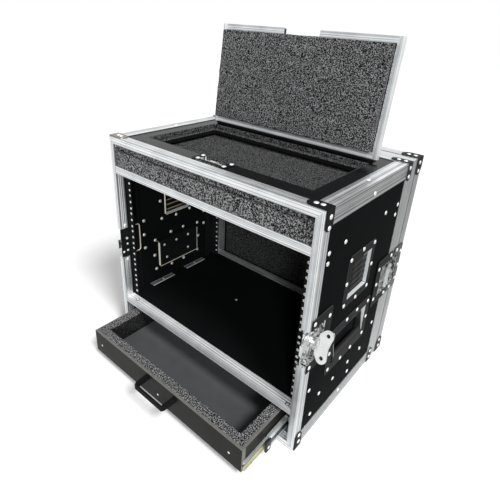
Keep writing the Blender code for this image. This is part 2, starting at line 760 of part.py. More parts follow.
def pressed_dish(name, flange, opening, depth, open_at=None, floor=True):
    """Dish pressed from sheet: flange, tub walls and, if wanted, a floor.

    Local Z points out of the case, 0 at the flange's underside, with the tub's underside at
    -depth. flange and opening are (x0, y0, x1, y1). open_at cuts the dish off at that X.
    """
    builder = bmesh.new()
    floor_z = SHEET - depth
    loops = []
    for bounds, z, radius in ((flange, SHEET, DISH_CORNER), (opening, SHEET, DISH_CORNER / 2),
                              (opening, floor_z, DISH_CORNER / 2)):
        loops.append([builder.verts.new((x, y, z)) for x, y in rounded(*bounds, radius)])
    for outer, inner in zip(loops, loops[1:]):
        for k in range(len(outer)):
            after = (k + 1) % len(outer)
            builder.faces.new((outer[k], outer[after], inner[after], inner[k]))
    if floor:
        builder.faces.new(loops[-1])
    if open_at is not None:
        geometry = list(builder.verts) + list(builder.edges) + list(builder.faces)
        bmesh.ops.bisect_plane(builder, geom=geometry, plane_co=(open_at, 0, 0),
                               plane_no=(1, 0, 0), clear_outer=True)
    mesh = bpy.data.meshes.new(name)
    builder.to_mesh(mesh)
    builder.free()
    dish = add_object(name, mesh)
    sheet = dish.modifiers.new("sheet", "SOLIDIFY")
    sheet.thickness = SHEET
    sheet.offset = -1
    sheet.use_even_offset = True
    return dish


def side_frame(direction, y, z, plane):
    """Frame of a dish on a side panel: local X backwards or forwards, Y up, Z outwards."""
    return axes((direction * plane, y, z), (0, direction, 0), (0, 0, 1))


def bounds_of(size):
    """Centred bounds of a given size."""
    return (-size[0] / 2, -size[1] / 2, size[0] / 2, size[1] / 2)


def build_vent_dishes():
    """Vent dishes: a deep tub whose back is a row of slanted blades."""
    width, height = VENT_OPENING
    pitch = height / VENT_BLADES
    for side, direction in (("left", -1), ("right", 1)):
        dish = pressed_dish(f"vent_dish_{side}", bounds_of(VENT_FLANGE), bounds_of(VENT_OPENING),
                            VENT_DEPTH, floor=False)
        for k in range(VENT_BLADES):
            blade = box("blade", -(width + SHEET) / 2, (width + SHEET) / 2, -SHEET / 2, SHEET / 2,
                        -VENT_BLADE / 2, VENT_BLADE / 2)
            tilt = Matrix.Rotation(VENT_BLADE_TILT, 4, "X")
            y = -height / 2 + (k + 0.5) * pitch
            turn(blade, Matrix.Translation((0, y, SHEET - VENT_DEPTH + VENT_BLADE_RISE)) @ tilt)
            join(dish, blade)
        finish(dish, "black_steel",
               side_frame(direction, *VENT_CENTRE, SIDE_OUT + GAP))


def spring_route(start_x):
    """Middle line of a torsion spring: a tail on the dish's floor, then the coil."""
    pivot_y, pivot_z = BAIL_PIVOT
    floor_z = SHEET - HANDLE_DEPTH + SPRING_WIRE - SPRING_SINK
    route = [Vector((start_x, pivot_y - SPRING_TAIL, floor_z)),
             Vector((start_x, pivot_y - SPRING_TAIL / 2, floor_z))]
    for k in range(SPRING_TURNS * SPRING_STEPS + 1):
        angle = -math.pi / 2 + 2 * math.pi * k / SPRING_STEPS
        route.append(Vector((start_x + SPRING_PITCH * k / SPRING_STEPS,
                             pivot_y + SPRING_RADIUS * math.cos(angle),
                             pivot_z + SPRING_RADIUS * math.sin(angle))))
    return route


def least_gap(route, diameter):
    """Least clear distance between turns, on points a third of a turn or more apart."""
    apart = SPRING_STEPS // 3 + 1
    return min((route[j] - route[i]).length for i in range(len(route))
               for j in range(i + apart, len(route))) - diameter


def torsion_spring(start_x):
    """Coil round the bail's rod, with a tail down to the dish's floor."""
    return tube("spring", spring_route(start_x), SPRING_WIRE, sides_step=1)


def build_handle_dishes():
    """Handle dishes, each with the two torsion springs that fold its bail away."""
    for side, direction in (("left", -1), ("right", 1)):
        dish = pressed_dish(f"handle_dish_{side}", bounds_of(HANDLE_FLANGE),
                            bounds_of(HANDLE_OPENING), HANDLE_DEPTH)
        for place in SPRING_PLACES:
            join(dish, torsion_spring(place))
        finish(dish, "black_steel", side_frame(direction, *HANDLE_CENTRE, SIDE_OUT + GAP))
    print(f"rack hole columns: {2 * RACK_HOLE_X / MM:.1f} mm apart")
    print(f"spring: least gap {least_gap(spring_route(0), 2 * SPRING_WIRE) / MM:.2f} mm")


def build_bails():
    """Fold-away handles: rubber grip, two arms and the rod that they turn on."""
    pivot_y, pivot_z = BAIL_PIVOT
    grip_y = BAIL_GRIP[0] - pivot_y
    grip_z = BAIL_GRIP[1] - pivot_z
    half_rod = HANDLE_OPENING[0] / 2 - GAP
    half_grip = BAIL_GRIP_LENGTH / 2
    reach = math.hypot(grip_y, grip_z)
    slope = math.degrees(math.atan2(grip_z, grip_y))
    outline = arc(0, 0, BAIL_ARM_ROOT / 2, 90, 270, 6) + arc(reach, 0, BAIL_ARM / 2, -90, 90, 6)
    for side, direction in (("left", -1), ("right", 1)):
        bail = rod(f"handle_bail_{side}", -half_grip, half_grip, grip_y, grip_z,
                   BAIL_GRIP_RADIUS, ROUND)
        join(bail, rod("rod", -half_rod, half_rod, 0, 0, BAIL_ROD_RADIUS))
        for end in (-1, 1):
            arm = plate("arm", [outline], BAIL_ARM_SHEET)
            turn(arm, Matrix.Rotation(math.radians(slope), 4, "Z"))
            inner = end * half_grip if end > 0 else -half_grip - BAIL_ARM_SHEET
            inner -= end * BAIL_ARM_SHEET / 4
            turn(arm, axes((inner, 0, 0), (0, 1, 0), (0, 0, 1)))
            join(bail, arm)
        place = side_frame(direction, *HANDLE_CENTRE, SIDE_OUT + GAP)
        finish(bail, "black_grip", place @ Matrix.Translation((0, pivot_y, pivot_z)))


def latch_frame(direction, joint_y, towards):
    """Frame of a side latch: local X towards the joint, Z out of the case."""
    outward = Vector((direction, 0, 0))
    to_joint = Vector((0, towards, 0))
    return axes((direction * FLANGE_PLANE, joint_y, LATCH_Z), to_joint, outward.cross(to_joint))


def latch_dish(name, setback):
    """Body half of a butterfly latch: the dish, and the bridge that carries its rotor."""
    half = LATCH_LENGTH / 2
    opening_half = LATCH_OPENING / 2
    beyond = LATCH_REACH / 2
    dish = pressed_dish(name, (-LATCH_REACH, -half, beyond, half),
                        (-LATCH_OPENING_REACH, -opening_half, beyond / 2, opening_half),
                        LATCH_DEPTH, open_at=-setback)
    inner = DRAWBAR_HALF_WIDTH + GAP
    foot = LATCH_FLOOR - LINE
    top = BRIDGE_LOW + BRIDGE_SHEET
    section = [(-BRIDGE_HALF_WIDTH, foot), (-inner, foot), (-inner, BRIDGE_LOW),
               (inner, BRIDGE_LOW), (inner, foot), (BRIDGE_HALF_WIDTH, foot),
               (BRIDGE_HALF_WIDTH, top), (-BRIDGE_HALF_WIDTH, top)]
    bridge = plate("bridge", [section], BRIDGE_LENGTH)
    turn(bridge, axes((-LATCH_HUB - BRIDGE_LENGTH / 2, 0, 0), (0, 1, 0), (0, 0, 1)))
    cut(bridge, cylinder("bore", -LATCH_HUB, 0, foot - MM, top + MM, SPINDLE_RADIUS + GAP))
    return join(dish, bridge)


def rotor_mesh(name):
    """Rotor about its own axis: spindle, disc and the two lugs that hold the wing's hinge."""
    rotor = cylinder(name, 0, 0, ROTOR_LOW, ROTOR_TOP, ROTOR_RADIUS)
    join(rotor, cylinder("spindle", 0, 0, BRIDGE_LOW, ROTOR_LOW + LINE, SPINDLE_RADIUS))
    for end in (-1, 1):
        near = end * (WING_HINGE_HALF + GAP)
        far = end * (WING_HINGE_HALF + GAP + LUG_WIDTH)
        join(rotor, box("lug", min(near, far), max(near, far), -WING_HINGE_RADIUS,
                        WING_HINGE_RADIUS, ROTOR_TOP - LINE, WING_HINGE + WING_HINGE_RADIUS))
    return rotor


def wing_mesh(name):
    """Butterfly wing about its hinge: local X along the wing, Z away from the hinge.

    Two round lobes with a hole each, a shallow waist between them, and a hinge barrel.
    """
    lobe_x, lobe_z = WING_LOBE
    lobe_z -= WING_HINGE
    waist = WING_WAIST - WING_HINGE
    root = WING_HINGE_HALF
    clear = root + LUG_WIDTH + 3 * GAP
    over_lug = math.hypot(WING_HINGE_RADIUS, WING_HINGE_RADIUS) + GAP
    right = [(root, 0), (root, over_lug), (clear, over_lug), (clear + GAP, -LINE),
             (WING_FLARE, -LINE)]
    right += arc(lobe_x, lobe_z, WING_LOBE_RADIUS, -50, 100, 10)
    right += [(WING_SHOULDER, waist + WING_DIP), (0, waist)]
    left = [(-x, z) for x, z in reversed(right[:-1])]
    holes = [circle(side * lobe_x, lobe_z, WING_HOLE_RADIUS, SMALL_ROUND) for side in (-1, 1)]
    wing = plate(name, [right + left] + holes, WING_SHEET)
    turn(wing, axes((0, WING_SHEET / 2, 0), (1, 0, 0), (0, 0, 1)))
    return join(wing, rod("barrel", -root, root, 0, 0, WING_HINGE_RADIUS))


def drawbar_mesh(name):
    """Drawbar with its hook, measured from the joint plane."""
    low = DRAWBAR_LOW
    section = [(-DRAWBAR_TAIL, low), (DRAWBAR_HEAD, low), (DRAWBAR_HEAD, low + DRAWBAR_LIP),
               (DRAWBAR_HEAD - DRAWBAR_SHEET, low + DRAWBAR_LIP),
               (DRAWBAR_HEAD - DRAWBAR_SHEET, low + DRAWBAR_SHEET),
               (-DRAWBAR_TAIL, low + DRAWBAR_SHEET)]
    bar = plate(name, [section], 2 * DRAWBAR_HALF_WIDTH)
    return turn(bar, axes((0, DRAWBAR_HALF_WIDTH, 0), (1, 0, 0), (0, 0, 1)))


def build_front_latches():
    """Open butterfly latches at the front, with their wings standing and partly turned."""
    for side, direction in (("left", -1), ("right", 1)):
        place = latch_frame(direction, FRONT, -1)
        finish(latch_dish(f"latch_dish_front_{side}", LATCH_FRONT_SETBACK), "black_steel", place)
        finish(drawbar_mesh(f"latch_drawbar_front_{side}"), "zinc_steel", place)
        lean = math.pi / 2 - direction * WING_LEAN
        turned = place @ Matrix.Translation((-LATCH_HUB, 0, 0)) @ Matrix.Rotation(lean, 4, "Z")
        finish(rotor_mesh(f"latch_rotor_front_{side}"), "zinc_steel", turned)
        hinge = turned @ Matrix.Translation((0, 0, WING_HINGE))
        finish(wing_mesh(f"latch_wing_front_{side}"), "zinc_steel", hinge)


def build_rear_latches():
    """Closed butterfly latches at the rear, each wing folded flat on its rotor."""
    for side, direction in (("left", -1), ("right", 1)):
        place = latch_frame(direction, REAR, 1)
        finish(latch_dish(f"latch_dish_rear_{side}", LATCH_REAR_SETBACK), "black_steel", place)
        wing = rotor_mesh(f"latch_wing_rear_{side}")
        folded = wing_mesh("folded")
        turn(folded, Matrix.Translation((0, 0, WING_HINGE)) @ Matrix.Rotation(-math.pi / 2, 4, "X"))
        reach = WING_HINGE_HALF + GAP + LINE
        join(wing, folded, rod("pin", -reach, reach, 0, WING_HINGE, WING_HINGE_RADIUS / 2))
        quarter = Matrix.Rotation(-math.pi / 2, 4, "Z")
        finish(wing, "zinc_steel", place @ Matrix.Translation((-LATCH_HUB, 0, 0)) @ quarter)


def ledge_latch_frame():
    """Frame of the ledge latch: local X towards the hatch, Z up."""
    joint_y = FRONT + LEDGE_LATCH_SETBACK + LEDGE_LATCH_FLANGE[1]
    return axes((0, joint_y, CEILING_TOP + GAP), (0, 1, 0), (-1, 0, 0))


def build_ledge_latch():
    """Small turn latch in the ledge in front of the hatch."""
    flange_half = LEDGE_LATCH_FLANGE[0] / 2
    opening_half = LEDGE_LATCH_OPENING[0] / 2
    beyond = LEDGE_LATCH_FLANGE[1] / 2
    dish = pressed_dish("latch_dish_hatch", (-LEDGE_LATCH_FLANGE[1], -flange_half, beyond,
                                             flange_half),
                        (-LEDGE_LATCH_OPENING[1], -opening_half, beyond / 2, opening_half),
                        LEDGE_LATCH_DEPTH, open_at=0)
    finish(dish, "black_steel", ledge_latch_frame())
    low = SHEET - LEDGE_LATCH_DEPTH + GAP
    wing = cylinder("latch_wing_hatch", 0, 0, low, low + LEDGE_ROTOR_HEIGHT, LEDGE_ROTOR_RADIUS)
    half = LEDGE_WING_HALF_WIDTH
    end = LEDGE_WING - half
    outline = arc(0, end, half, 0, 180, 6) + arc(0, -end, half, 180, 360, 6)
    blade = plate("blade", [outline], SHEET)
    turn(blade, Matrix.Translation((0, 0, low + LEDGE_ROTOR_HEIGHT - LINE)))
    finish(join(wing, blade), "zinc_steel",
           ledge_latch_frame() @ Matrix.Translation((-LEDGE_LATCH_HUB, 0, 0)))


def hinge_knuckles(parity):
    """Every second knuckle of the piano hinge, as ranges along X."""
    pitch = HINGE_LENGTH / HINGE_KNUCKLES
    return [(-HINGE_LENGTH / 2 + k * pitch + KNUCKLE_GAP / 2,
             -HINGE_LENGTH / 2 + (k + 1) * pitch - KNUCKLE_GAP / 2)
            for k in range(HINGE_KNUCKLES) if k % 2 == parity]


def build_hinge_leaf():
    """Fixed leaf of the hatch's piano hinge, with its knuckles."""
    clear = HINGE_RADIUS + GAP
    leaf = box("hinge_leaf", -HINGE_LENGTH / 2, HINGE_LENGTH / 2, clear, HINGE_LEAF,
               -HINGE_RADIUS, -HINGE_RADIUS + SHEET)
    for x0, x1 in hinge_knuckles(0):
        join(leaf, rod("knuckle", x0, x1, 0, 0, HINGE_RADIUS, SMALL_ROUND))
        join(leaf, box("strap", x0, x1, 0, clear + LINE, -HINGE_RADIUS, -HINGE_RADIUS + SHEET))
    finish(leaf, "black_steel", Matrix.Translation((0, HINGE_Y, HINGE_Z)))


def build_hatch():
    """Hatch: plywood board in aluminium edging, with a foam plug under it.

    Built shut about its hinge axis, then swung open.
    """
    edge = HATCH_EDGE
    far = HATCH_FAR
    half = HATCH_HALF
    thickness = HATCH_PLY + 2 * (LEG + GAP)
    notch_depth = HATCH_FLANGE + GAP
    section = [(0, 0), (HATCH_FLANGE, 0), (HATCH_FLANGE, LEG), (HATCH_WEB, LEG),
               (HATCH_WEB, thickness - LEG), (HATCH_FLANGE, thickness - LEG),
               (HATCH_FLANGE, thickness), (0, thickness)]
    edging = swept_frame("hatch_edging", section, ring_stations(half, edge, far),
                         -HINGE_RADIUS, 1)
    turn(edging, Matrix.Rotation(math.pi / 2, 4, "X"))
    cut(edging, box("notch", -HATCH_NOTCH / 2, HATCH_NOTCH / 2, -far - NOSE, -far + notch_depth,
                    -NOSE, thickness + NOSE))
    for x0, x1 in hinge_knuckles(1):
        join(edging, rod("knuckle", x0, x1, 0, 0, HINGE_RADIUS, SMALL_ROUND))
        join(edging, box("strap", x0, x1, -edge - LINE, 0, -SHEET, SHEET))
    inset = HATCH_WEB + GAP
    board = [(-half + inset, -far + inset), (-HATCH_NOTCH / 2 - GAP, -far + inset),
             (-HATCH_NOTCH / 2 - GAP, -far + notch_depth), (HATCH_NOTCH / 2 + GAP, -far + notch_depth),
             (HATCH_NOTCH / 2 + GAP, -far + inset), (half - inset, -far + inset),
             (half - inset, -edge - inset), (-half + inset, -edge - inset)]
    panel = plate("hatch_panel", [board], HATCH_PLY)
    board_low = -HINGE_RADIUS + LEG + GAP
    turn(panel, Matrix.Translation((0, 0, board_low)))
    plug_inset = HATCH_FLANGE + GAP
    foam = box("hatch_foam", -half + plug_inset, half - plug_inset, -far + plug_inset,
               -edge - plug_inset, -HINGE_RADIUS - HATCH_FOAM, board_low - GAP)
    swing = Matrix.Translation((0, HINGE_Y, HINGE_Z)) @ Matrix.Rotation(-HATCH_OPEN, 4, "X")
    finish(edging, "aluminium", swing)
    finish(panel, "black_laminate", swing)
    finish(foam, "foam", swing)


def slide_bar(name, outline, direction, front_y):
    """Slide member: section measured out from the drawer's side, run along the case's depth."""
    bar = plate(name, [outline], SLIDE_LENGTH)
    start = front_y + SLIDE_LENGTH if direction > 0 else front_y
    turn(bar, axes((direction * DRAWER_HALF, start, SLIDE_Z), (direction, 0, 0), (0, 0, 1)))
    return finish(bar, "zinc_steel")


def mirrored(upper):
    """Close a section whose lower half mirrors its upper half."""
    return upper + [(a, -b) for a, b in reversed(upper)]


def build_slides():
    """Three-member ball-bearing slides. The middle member runs at half the drawer's travel."""
    web = SLIDE_THICKNESS - SLIDE_SHEET
    lip_start = web - SLIDE_LIP
    inside = SLIDE_OUTER_HALF - SLIDE_SHEET
    wall = SIDE_IN - DRAWER_HALF - GAP
    bracket = SLIDE_BRACKET_HALF
    outer = mirrored([(web, inside), (lip_start, inside), (lip_start, SLIDE_OUTER_HALF),
                      (SLIDE_THICKNESS, SLIDE_OUTER_HALF), (SLIDE_THICKNESS, bracket + SLIDE_SHEET),
                      (wall - SLIDE_SHEET, bracket + SLIDE_SHEET),
                      (wall - SLIDE_SHEET, bracket + SLIDE_FOOT), (wall, bracket + SLIDE_FOOT),
                      (wall, bracket), (SLIDE_THICKNESS, bracket)])
    middle_web = SLIDE_THICKNESS / 2
    middle_half = inside - GAP
    race = SLIDE_INNER_HALF + GAP
    ball_edge = SLIDE_BALL_GAP
    tip = ball_edge - SLIDE_MIDDLE_LIP
    middle = mirrored([(middle_web, middle_half - SLIDE_SHEET), (ball_edge, middle_half - SLIDE_SHEET),
                       (ball_edge, race), (tip, race), (tip, middle_half),
                       (middle_web + SLIDE_SHEET, middle_half)])
    inner = mirrored([(GAP + SLIDE_SHEET, SLIDE_INNER_HALF - SLIDE_SHEET),
                      (SLIDE_INNER_DEPTH, SLIDE_INNER_HALF - SLIDE_SHEET),
                      (SLIDE_INNER_DEPTH, SLIDE_INNER_HALF), (GAP, SLIDE_INNER_HALF)])
    for side, direction in (("left", -1), ("right", 1)):
        slide_bar(f"slide_outer_{side}", outer, direction, FRONT + SLIDE_OUTER_SETBACK)
        slide_bar(f"slide_middle_{side}", middle, direction,
                  FRONT + SLIDE_MIDDLE_SETBACK - DRAWER_OPEN / 2)
        slide_bar(f"slide_inner_{side}", inner, direction,
                  FRONT + SLIDE_INNER_SETBACK - DRAWER_OPEN)


def build_drawer():
    """Drawer: open plywood box, foam lining strip and bow handle."""
    top = DRAWER_BASE_Z + DRAWER_HEIGHT
    rear = DRAWER_FRONT + DRAWER_LENGTH
    tray = box("drawer_box", -DRAWER_HALF, DRAWER_HALF, DRAWER_FRONT, rear, DRAWER_BASE_Z, top)
    inner_x = DRAWER_HALF - PLY
    floor = DRAWER_BASE_Z + DRAWER_FLOOR
    cut(tray, box("inside", -inner_x, inner_x, DRAWER_FRONT + PLY, rear - PLY, floor, top + PLY))
    finish(tray, "drawer_ply")
    outer = rectangle(-inner_x + GAP, DRAWER_FRONT + PLY + GAP, inner_x - GAP, rear - PLY - GAP)
    foam_x = inner_x - GAP - DRAWER_FOAM
    inner = rectangle(-foam_x, DRAWER_FRONT + PLY + GAP + DRAWER_FOAM, foam_x,
                      rear - PLY - GAP - DRAWER_FOAM)
    finish(plate("drawer_foam", [outer, inner], top - floor - GAP), "foam",
           Matrix.Translation((0, 0, floor + GAP)))
    half = BOW_WIDTH / 2
    outer_half = [(half, 0), (half - BOW_BAR / 2, -BOW_REACH + BOW_CORNER)]
    outer_half += [(half - BOW_CORNER, -BOW_REACH)]
    inner_half = [(half - BOW_CORNER - BOW_BAR / 2, -BOW_REACH + BOW_BAR),
                  (half - 2 * BOW_BAR, -BOW_REACH + BOW_CORNER + BOW_BAR / 2),
                  (half - 2 * BOW_BAR, 0)]
    bow = outer_half + [(-x, y) for x, y in reversed(outer_half)]
    bow += [(-x, y) for x, y in reversed(inner_half)] + inner_half
    finish(plate("drawer_handle", [bow], BOW_HEIGHT), "black_steel",
           Matrix.Translation((BOW_OFFSET, DRAWER_FRONT - GAP, BOW_Z - BOW_HEIGHT / 2)))


def lid_edge_section():
    """Joint-side extrusion of the lid, whose lip covers the body's step."""
    lip = TONGUE_INSET - GAP
    points = [(0, -TONGUE_STEP), (lip, -TONGUE_STEP), (lip, 0), (FACE, 0)]
    return points + [(FACE, INNER_LEG), (SLOT_FAR, INNER_LEG), (SLOT_FAR, NOSE), (LEG, NOSE),
                     (LEG, LID_LEG), (0, LID_LEG)]


def build_rear_lid():
    """Lift-off rear lid: plywood tray with strike dishes, aluminium edges and foam."""
    front = LID_FACE + NOSE + GAP
    back = LID_BACK - PROUD
    tray = box("rear_lid_box", -SIDE_OUT, SIDE_OUT, front, back, 0, CEILING_TOP)
    cut(tray, box("inside", -SIDE_IN, SIDE_IN, front - NOSE, back - PLY, FLOOR, CEILING))
    reach = STRIKE_OPENING_REACH + SHEET / 2
    for direction in (-1, 1):
        inner = direction * (SIDE_IN - NOSE)
        outer = direction * (SIDE_OUT + NOSE)
        half = LATCH_OPENING / 2 + SHEET / 2
        cut(tray, box("notch", min(inner, outer), max(inner, outer), front - NOSE,
                      REAR + reach, LATCH_Z - half, LATCH_Z + half))
        join(tray, strike_dish(direction))
    finish(tray, "black_laminate")

    frame = swept_frame("rear_lid_frame", lid_edge_section(),
                        ring_stations(HALF_WIDTH, BASE, TOP), LID_FACE, 1)
    angle = [(0, 0), (ANGLE_TOP, 0), (ANGLE_TOP, LEG), (LEG, LEG), (LEG, LID_LEG), (0, LID_LEG)]
    join(frame, *lid_braces())
    join(frame, swept_frame("back_angle", angle, ring_stations(HALF_WIDTH, BASE, TOP),
                            LID_BACK, -1))
    for direction in (-1, 1):
        inner = direction * LATCH_GAP_X
        outer = direction * (HALF_WIDTH + NOSE)
        cut(frame, box("latch_gap", min(inner, outer), max(inner, outer), LID_FACE - NOSE,
                       REAR + STRIKE_OPENING_REACH + SHEET + GAP, LATCH_Z - LATCH_CUT,
                       LATCH_Z + LATCH_CUT))
    finish(frame, "aluminium")

    inside = SIDE_IN - GAP
    finish(box("rear_lid_foam", -inside, inside, back - PLY - GAP - LID_FOAM, back - PLY - GAP,
               FLOOR + GAP, CEILING - GAP), "foam")


def strike_dish(direction):
    """Lid half of a butterfly latch, with the keeper that the drawbar hooks."""
    half = LATCH_LENGTH / 2
    opening_half = LATCH_OPENING / 2
    beyond = LATCH_REACH / 2
    dish = pressed_dish("strike", (-STRIKE_REACH, -half, beyond, half),
                        (-STRIKE_OPENING_REACH, -opening_half, beyond / 2, opening_half),
                        LATCH_DEPTH, open_at=-STRIKE_SETBACK)
    join(dish, box("keeper", -KEEPER_SETBACK, -KEEPER_SETBACK + DRAWBAR_SHEET,
                   -KEEPER_HALF_WIDTH, KEEPER_HALF_WIDTH, LATCH_FLOOR - LINE,
                   LATCH_FLOOR + KEEPER_HEIGHT))
    return turn(dish, latch_frame(direction, REAR, -1))


def lid_braces():
    """Corner braces of the lid, from its joint-side extrusion to its back."""
    width = LID_DEPTH - LID_LEG + 2 * GAP
    braces = []
    for direction in (-1, 1):
        for level in (-1, 1):
            brace = brace_mesh("brace", BRACE_SIDE, BRACE_TOP, width, embed=LINE)
            place = corner_axes(direction, level, LID_BACK - width - GAP, width)
            braces.append(turn(brace, place))
    return braces


def move_to_origin():
    """Bring the middle of the footprint to the origin, with the lowest braces on the floor."""
    for item in bpy.data.collections[PARTS].objects:
        item.matrix_world = Matrix.Translation(TO_ORIGIN) @ item.matrix_world


def main():
    """Build the whole case."""
    clear_scene()
    build_side_panels()
    build_top_panel()
    build_level_panels()
    build_well_foam()
    build_front_frames()
    build_cap_bars()
    build_side_edges()
    build_rear_frame()
    build_front_braces()
    build_rack_rails()
    build_vent_dishes()
    build_handle_dishes()
    build_bails()
    build_front_latches()
    build_rear_latches()
    build_ledge_latch()
    build_hinge_leaf()
    build_hatch()
    build_slides()
    build_drawer()
    build_rear_lid()
    move_to_origin()


main()
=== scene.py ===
import math

import bpy
import numpy as np
from mathutils import Matrix, Vector


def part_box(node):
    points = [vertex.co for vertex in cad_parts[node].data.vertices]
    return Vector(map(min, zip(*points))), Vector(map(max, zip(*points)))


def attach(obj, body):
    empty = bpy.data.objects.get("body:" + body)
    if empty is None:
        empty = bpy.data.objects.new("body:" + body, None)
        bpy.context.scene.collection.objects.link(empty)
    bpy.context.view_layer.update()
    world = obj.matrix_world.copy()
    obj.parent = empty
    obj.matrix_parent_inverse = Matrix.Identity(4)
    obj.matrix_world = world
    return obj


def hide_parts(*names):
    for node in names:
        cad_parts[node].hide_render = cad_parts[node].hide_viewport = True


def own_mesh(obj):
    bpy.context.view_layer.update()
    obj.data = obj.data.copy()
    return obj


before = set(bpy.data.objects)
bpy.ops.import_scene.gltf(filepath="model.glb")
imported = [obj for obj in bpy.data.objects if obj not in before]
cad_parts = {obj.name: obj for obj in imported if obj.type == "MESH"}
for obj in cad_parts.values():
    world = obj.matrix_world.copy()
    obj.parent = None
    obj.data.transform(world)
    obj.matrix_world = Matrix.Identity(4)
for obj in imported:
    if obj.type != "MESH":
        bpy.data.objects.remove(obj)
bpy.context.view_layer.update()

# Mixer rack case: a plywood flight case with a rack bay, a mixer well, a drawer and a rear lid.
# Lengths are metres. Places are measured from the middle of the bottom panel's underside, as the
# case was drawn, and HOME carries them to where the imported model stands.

bottom_low, bottom_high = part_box("bottom_panel")
HOME = np.array([0.0, (bottom_low.y + bottom_high.y) / 2, bottom_low.z])

# Camera. It stands right of the open front, a little above the lid's height, as the photograph
# was taken: a 30 mm lens with a small downward shift, and no blur.
camera_data = bpy.data.cameras.new("camera")
camera_data.lens = 30.297
camera_data.sensor_width = 36.0
camera_data.shift_x = -0.0012
camera_data.shift_y = -0.0719
camera_data.clip_start = 0.02
camera = bpy.data.objects.new("camera", camera_data)
to_right = (0.767584, 0.638878, 0.051475)
to_top = (-0.307514, 0.296618, 0.904131)
to_back = (0.562361, -0.709826, 0.424143)
camera.matrix_world = (Matrix.Translation(HOME + (0.508847, -0.646801, 0.735152))
                       @ Matrix((to_right, to_top, to_back)).transposed().to_4x4())
bpy.context.scene.collection.objects.link(camera)
bpy.context.scene.camera = camera
bpy.context.scene.view_settings.view_transform = "Standard"


# Studio. A white sweep with soft light from all round, one soft light high on the right, and a
# fill beside the camera. The floor shows white and keeps the case's shadow; what the metal
# mirrors of it is darker on the right.
def surface(name, grid, close_rows=False, close_columns=False):
    """Mesh through grids of points, one or many: (..., rows, columns, 3), joined into quads.

    close_rows joins the last row to the first, and close_columns the last column.
    """
    grid = np.asarray(grid, float)
    rows, columns = grid.shape[-3:-1]
    flat = grid.reshape(-1, rows * columns, 3)
    index = np.arange(rows * columns).reshape(rows, columns)
    if close_rows:
        index = np.vstack([index, index[:1]])
    if close_columns:
        index = np.hstack([index, index[:, :1]])
    quads = np.stack([index[:-1, :-1], index[:-1, 1:], index[1:, 1:], index[1:, :-1]], -1)
    quads = quads.reshape(1, -1, 4) + np.arange(len(flat))[:, None, None] * rows * columns
    return polygon_mesh(name, flat.reshape(-1, 3), quads.reshape(-1, 4))


def polygon_mesh(name, points, quads):
    """Smooth-shaded object from points and quads; points within 0.01 mm of another are merged."""
    keys = np.round(points / 1e-5).astype(np.int64)
    _, first, merged = np.unique(keys, axis=0, return_index=True, return_inverse=True)
    points, quads = points[first], merged.reshape(-1)[quads]
    mesh = bpy.data.meshes.new(name)
    corner_runs = [tuple(dict.fromkeys(quad)) for quad in quads.tolist()]
    mesh.from_pydata((points + HOME).tolist(), [], [run for run in corner_runs if len(run) > 2])
    mesh.polygons.foreach_set("use_smooth", np.full(len(mesh.polygons), True))
    made = bpy.data.objects.new(name, mesh)
    bpy.context.scene.collection.objects.link(made)
    return made


def put_value(tree, socket, value):
    """Link a socket to an input, or set a number, vector or colour there."""
    if isinstance(value, bpy.types.NodeSocket):
        tree.links.new(value, socket)
    elif socket.type == "RGBA":
        socket.default_value = (*value, 1.0)
    else:
        socket.default_value = value


def add_node(tree, kind, settings=None, values=None, output=0):
    """Any node: its settings first, then values or sockets for its inputs."""
    made = tree.nodes.new(kind)
    for setting, value in (settings or {}).items():
        setattr(made, setting, value)
    for key, value in (values or {}).items():
        put_value(tree, made.inputs[key], value)
    return made.outputs[output] if made.outputs else made


def seen_by(tree, *kinds):
    """1 for rays of any of these kinds."""
    ray = tree.nodes.new("ShaderNodeLightPath")
    seen = ray.outputs[kinds[0]]
    for kind in kinds[1:]:
        seen = add_node(tree, "ShaderNodeMath", {"operation": "MAXIMUM"},
                        {0: seen, 1: ray.outputs[kind]})
    return seen


floor_reach = 9.0
floor_span = np.linspace(-floor_reach, floor_reach, 3)
floor_x, floor_y = np.meshgrid(floor_span, floor_span)
floor = surface("studio_floor", np.stack([floor_x, floor_y, 0 * floor_x - HOME[2]], -1))

# The camera sees the floor white, with a faint glow. What it sends on to the case is duller, and
# dullest on the right.
floor_glow, bright_floor, dull_floor, dulls_from, dulls_to = 0.07, 0.92, 0.50, 0.30, 0.45
floor_look = bpy.data.materials.new("studio_floor")
floor_look.use_nodes = True
floor.data.materials.append(floor_look)
floor_tree = floor_look.node_tree
floor_tree.nodes.clear()
floor_spot = add_node(floor_tree, "ShaderNodeTexCoord", output="Object")
floor_place = add_node(floor_tree, "ShaderNodeSeparateXYZ", {}, {0: floor_spot})
floor_tone = add_node(floor_tree, "ShaderNodeMapRange", {}, {
    0: floor_place, 1: dulls_from, 2: dulls_to, 3: bright_floor, 4: dull_floor})
plain = add_node(floor_tree, "ShaderNodeBsdfDiffuse", {}, {"Color": floor_tone})
painted = add_node(floor_tree, "ShaderNodeBsdfDiffuse", {}, {"Color": (1, 1, 1)})
glow = add_node(floor_tree, "ShaderNodeEmission", {}, {"Strength": floor_glow})
shown = add_node(floor_tree, "ShaderNodeAddShader", {}, {0: painted, 1: glow})
floor_seen = seen_by(floor_tree, "Is Camera Ray", "Is Transmission Ray")
floor_choice = add_node(floor_tree, "ShaderNodeMixShader", {}, {0: floor_seen, 1: plain, 2: shown})
add_node(floor_tree, "ShaderNodeOutputMaterial", {}, {0: floor_choice})

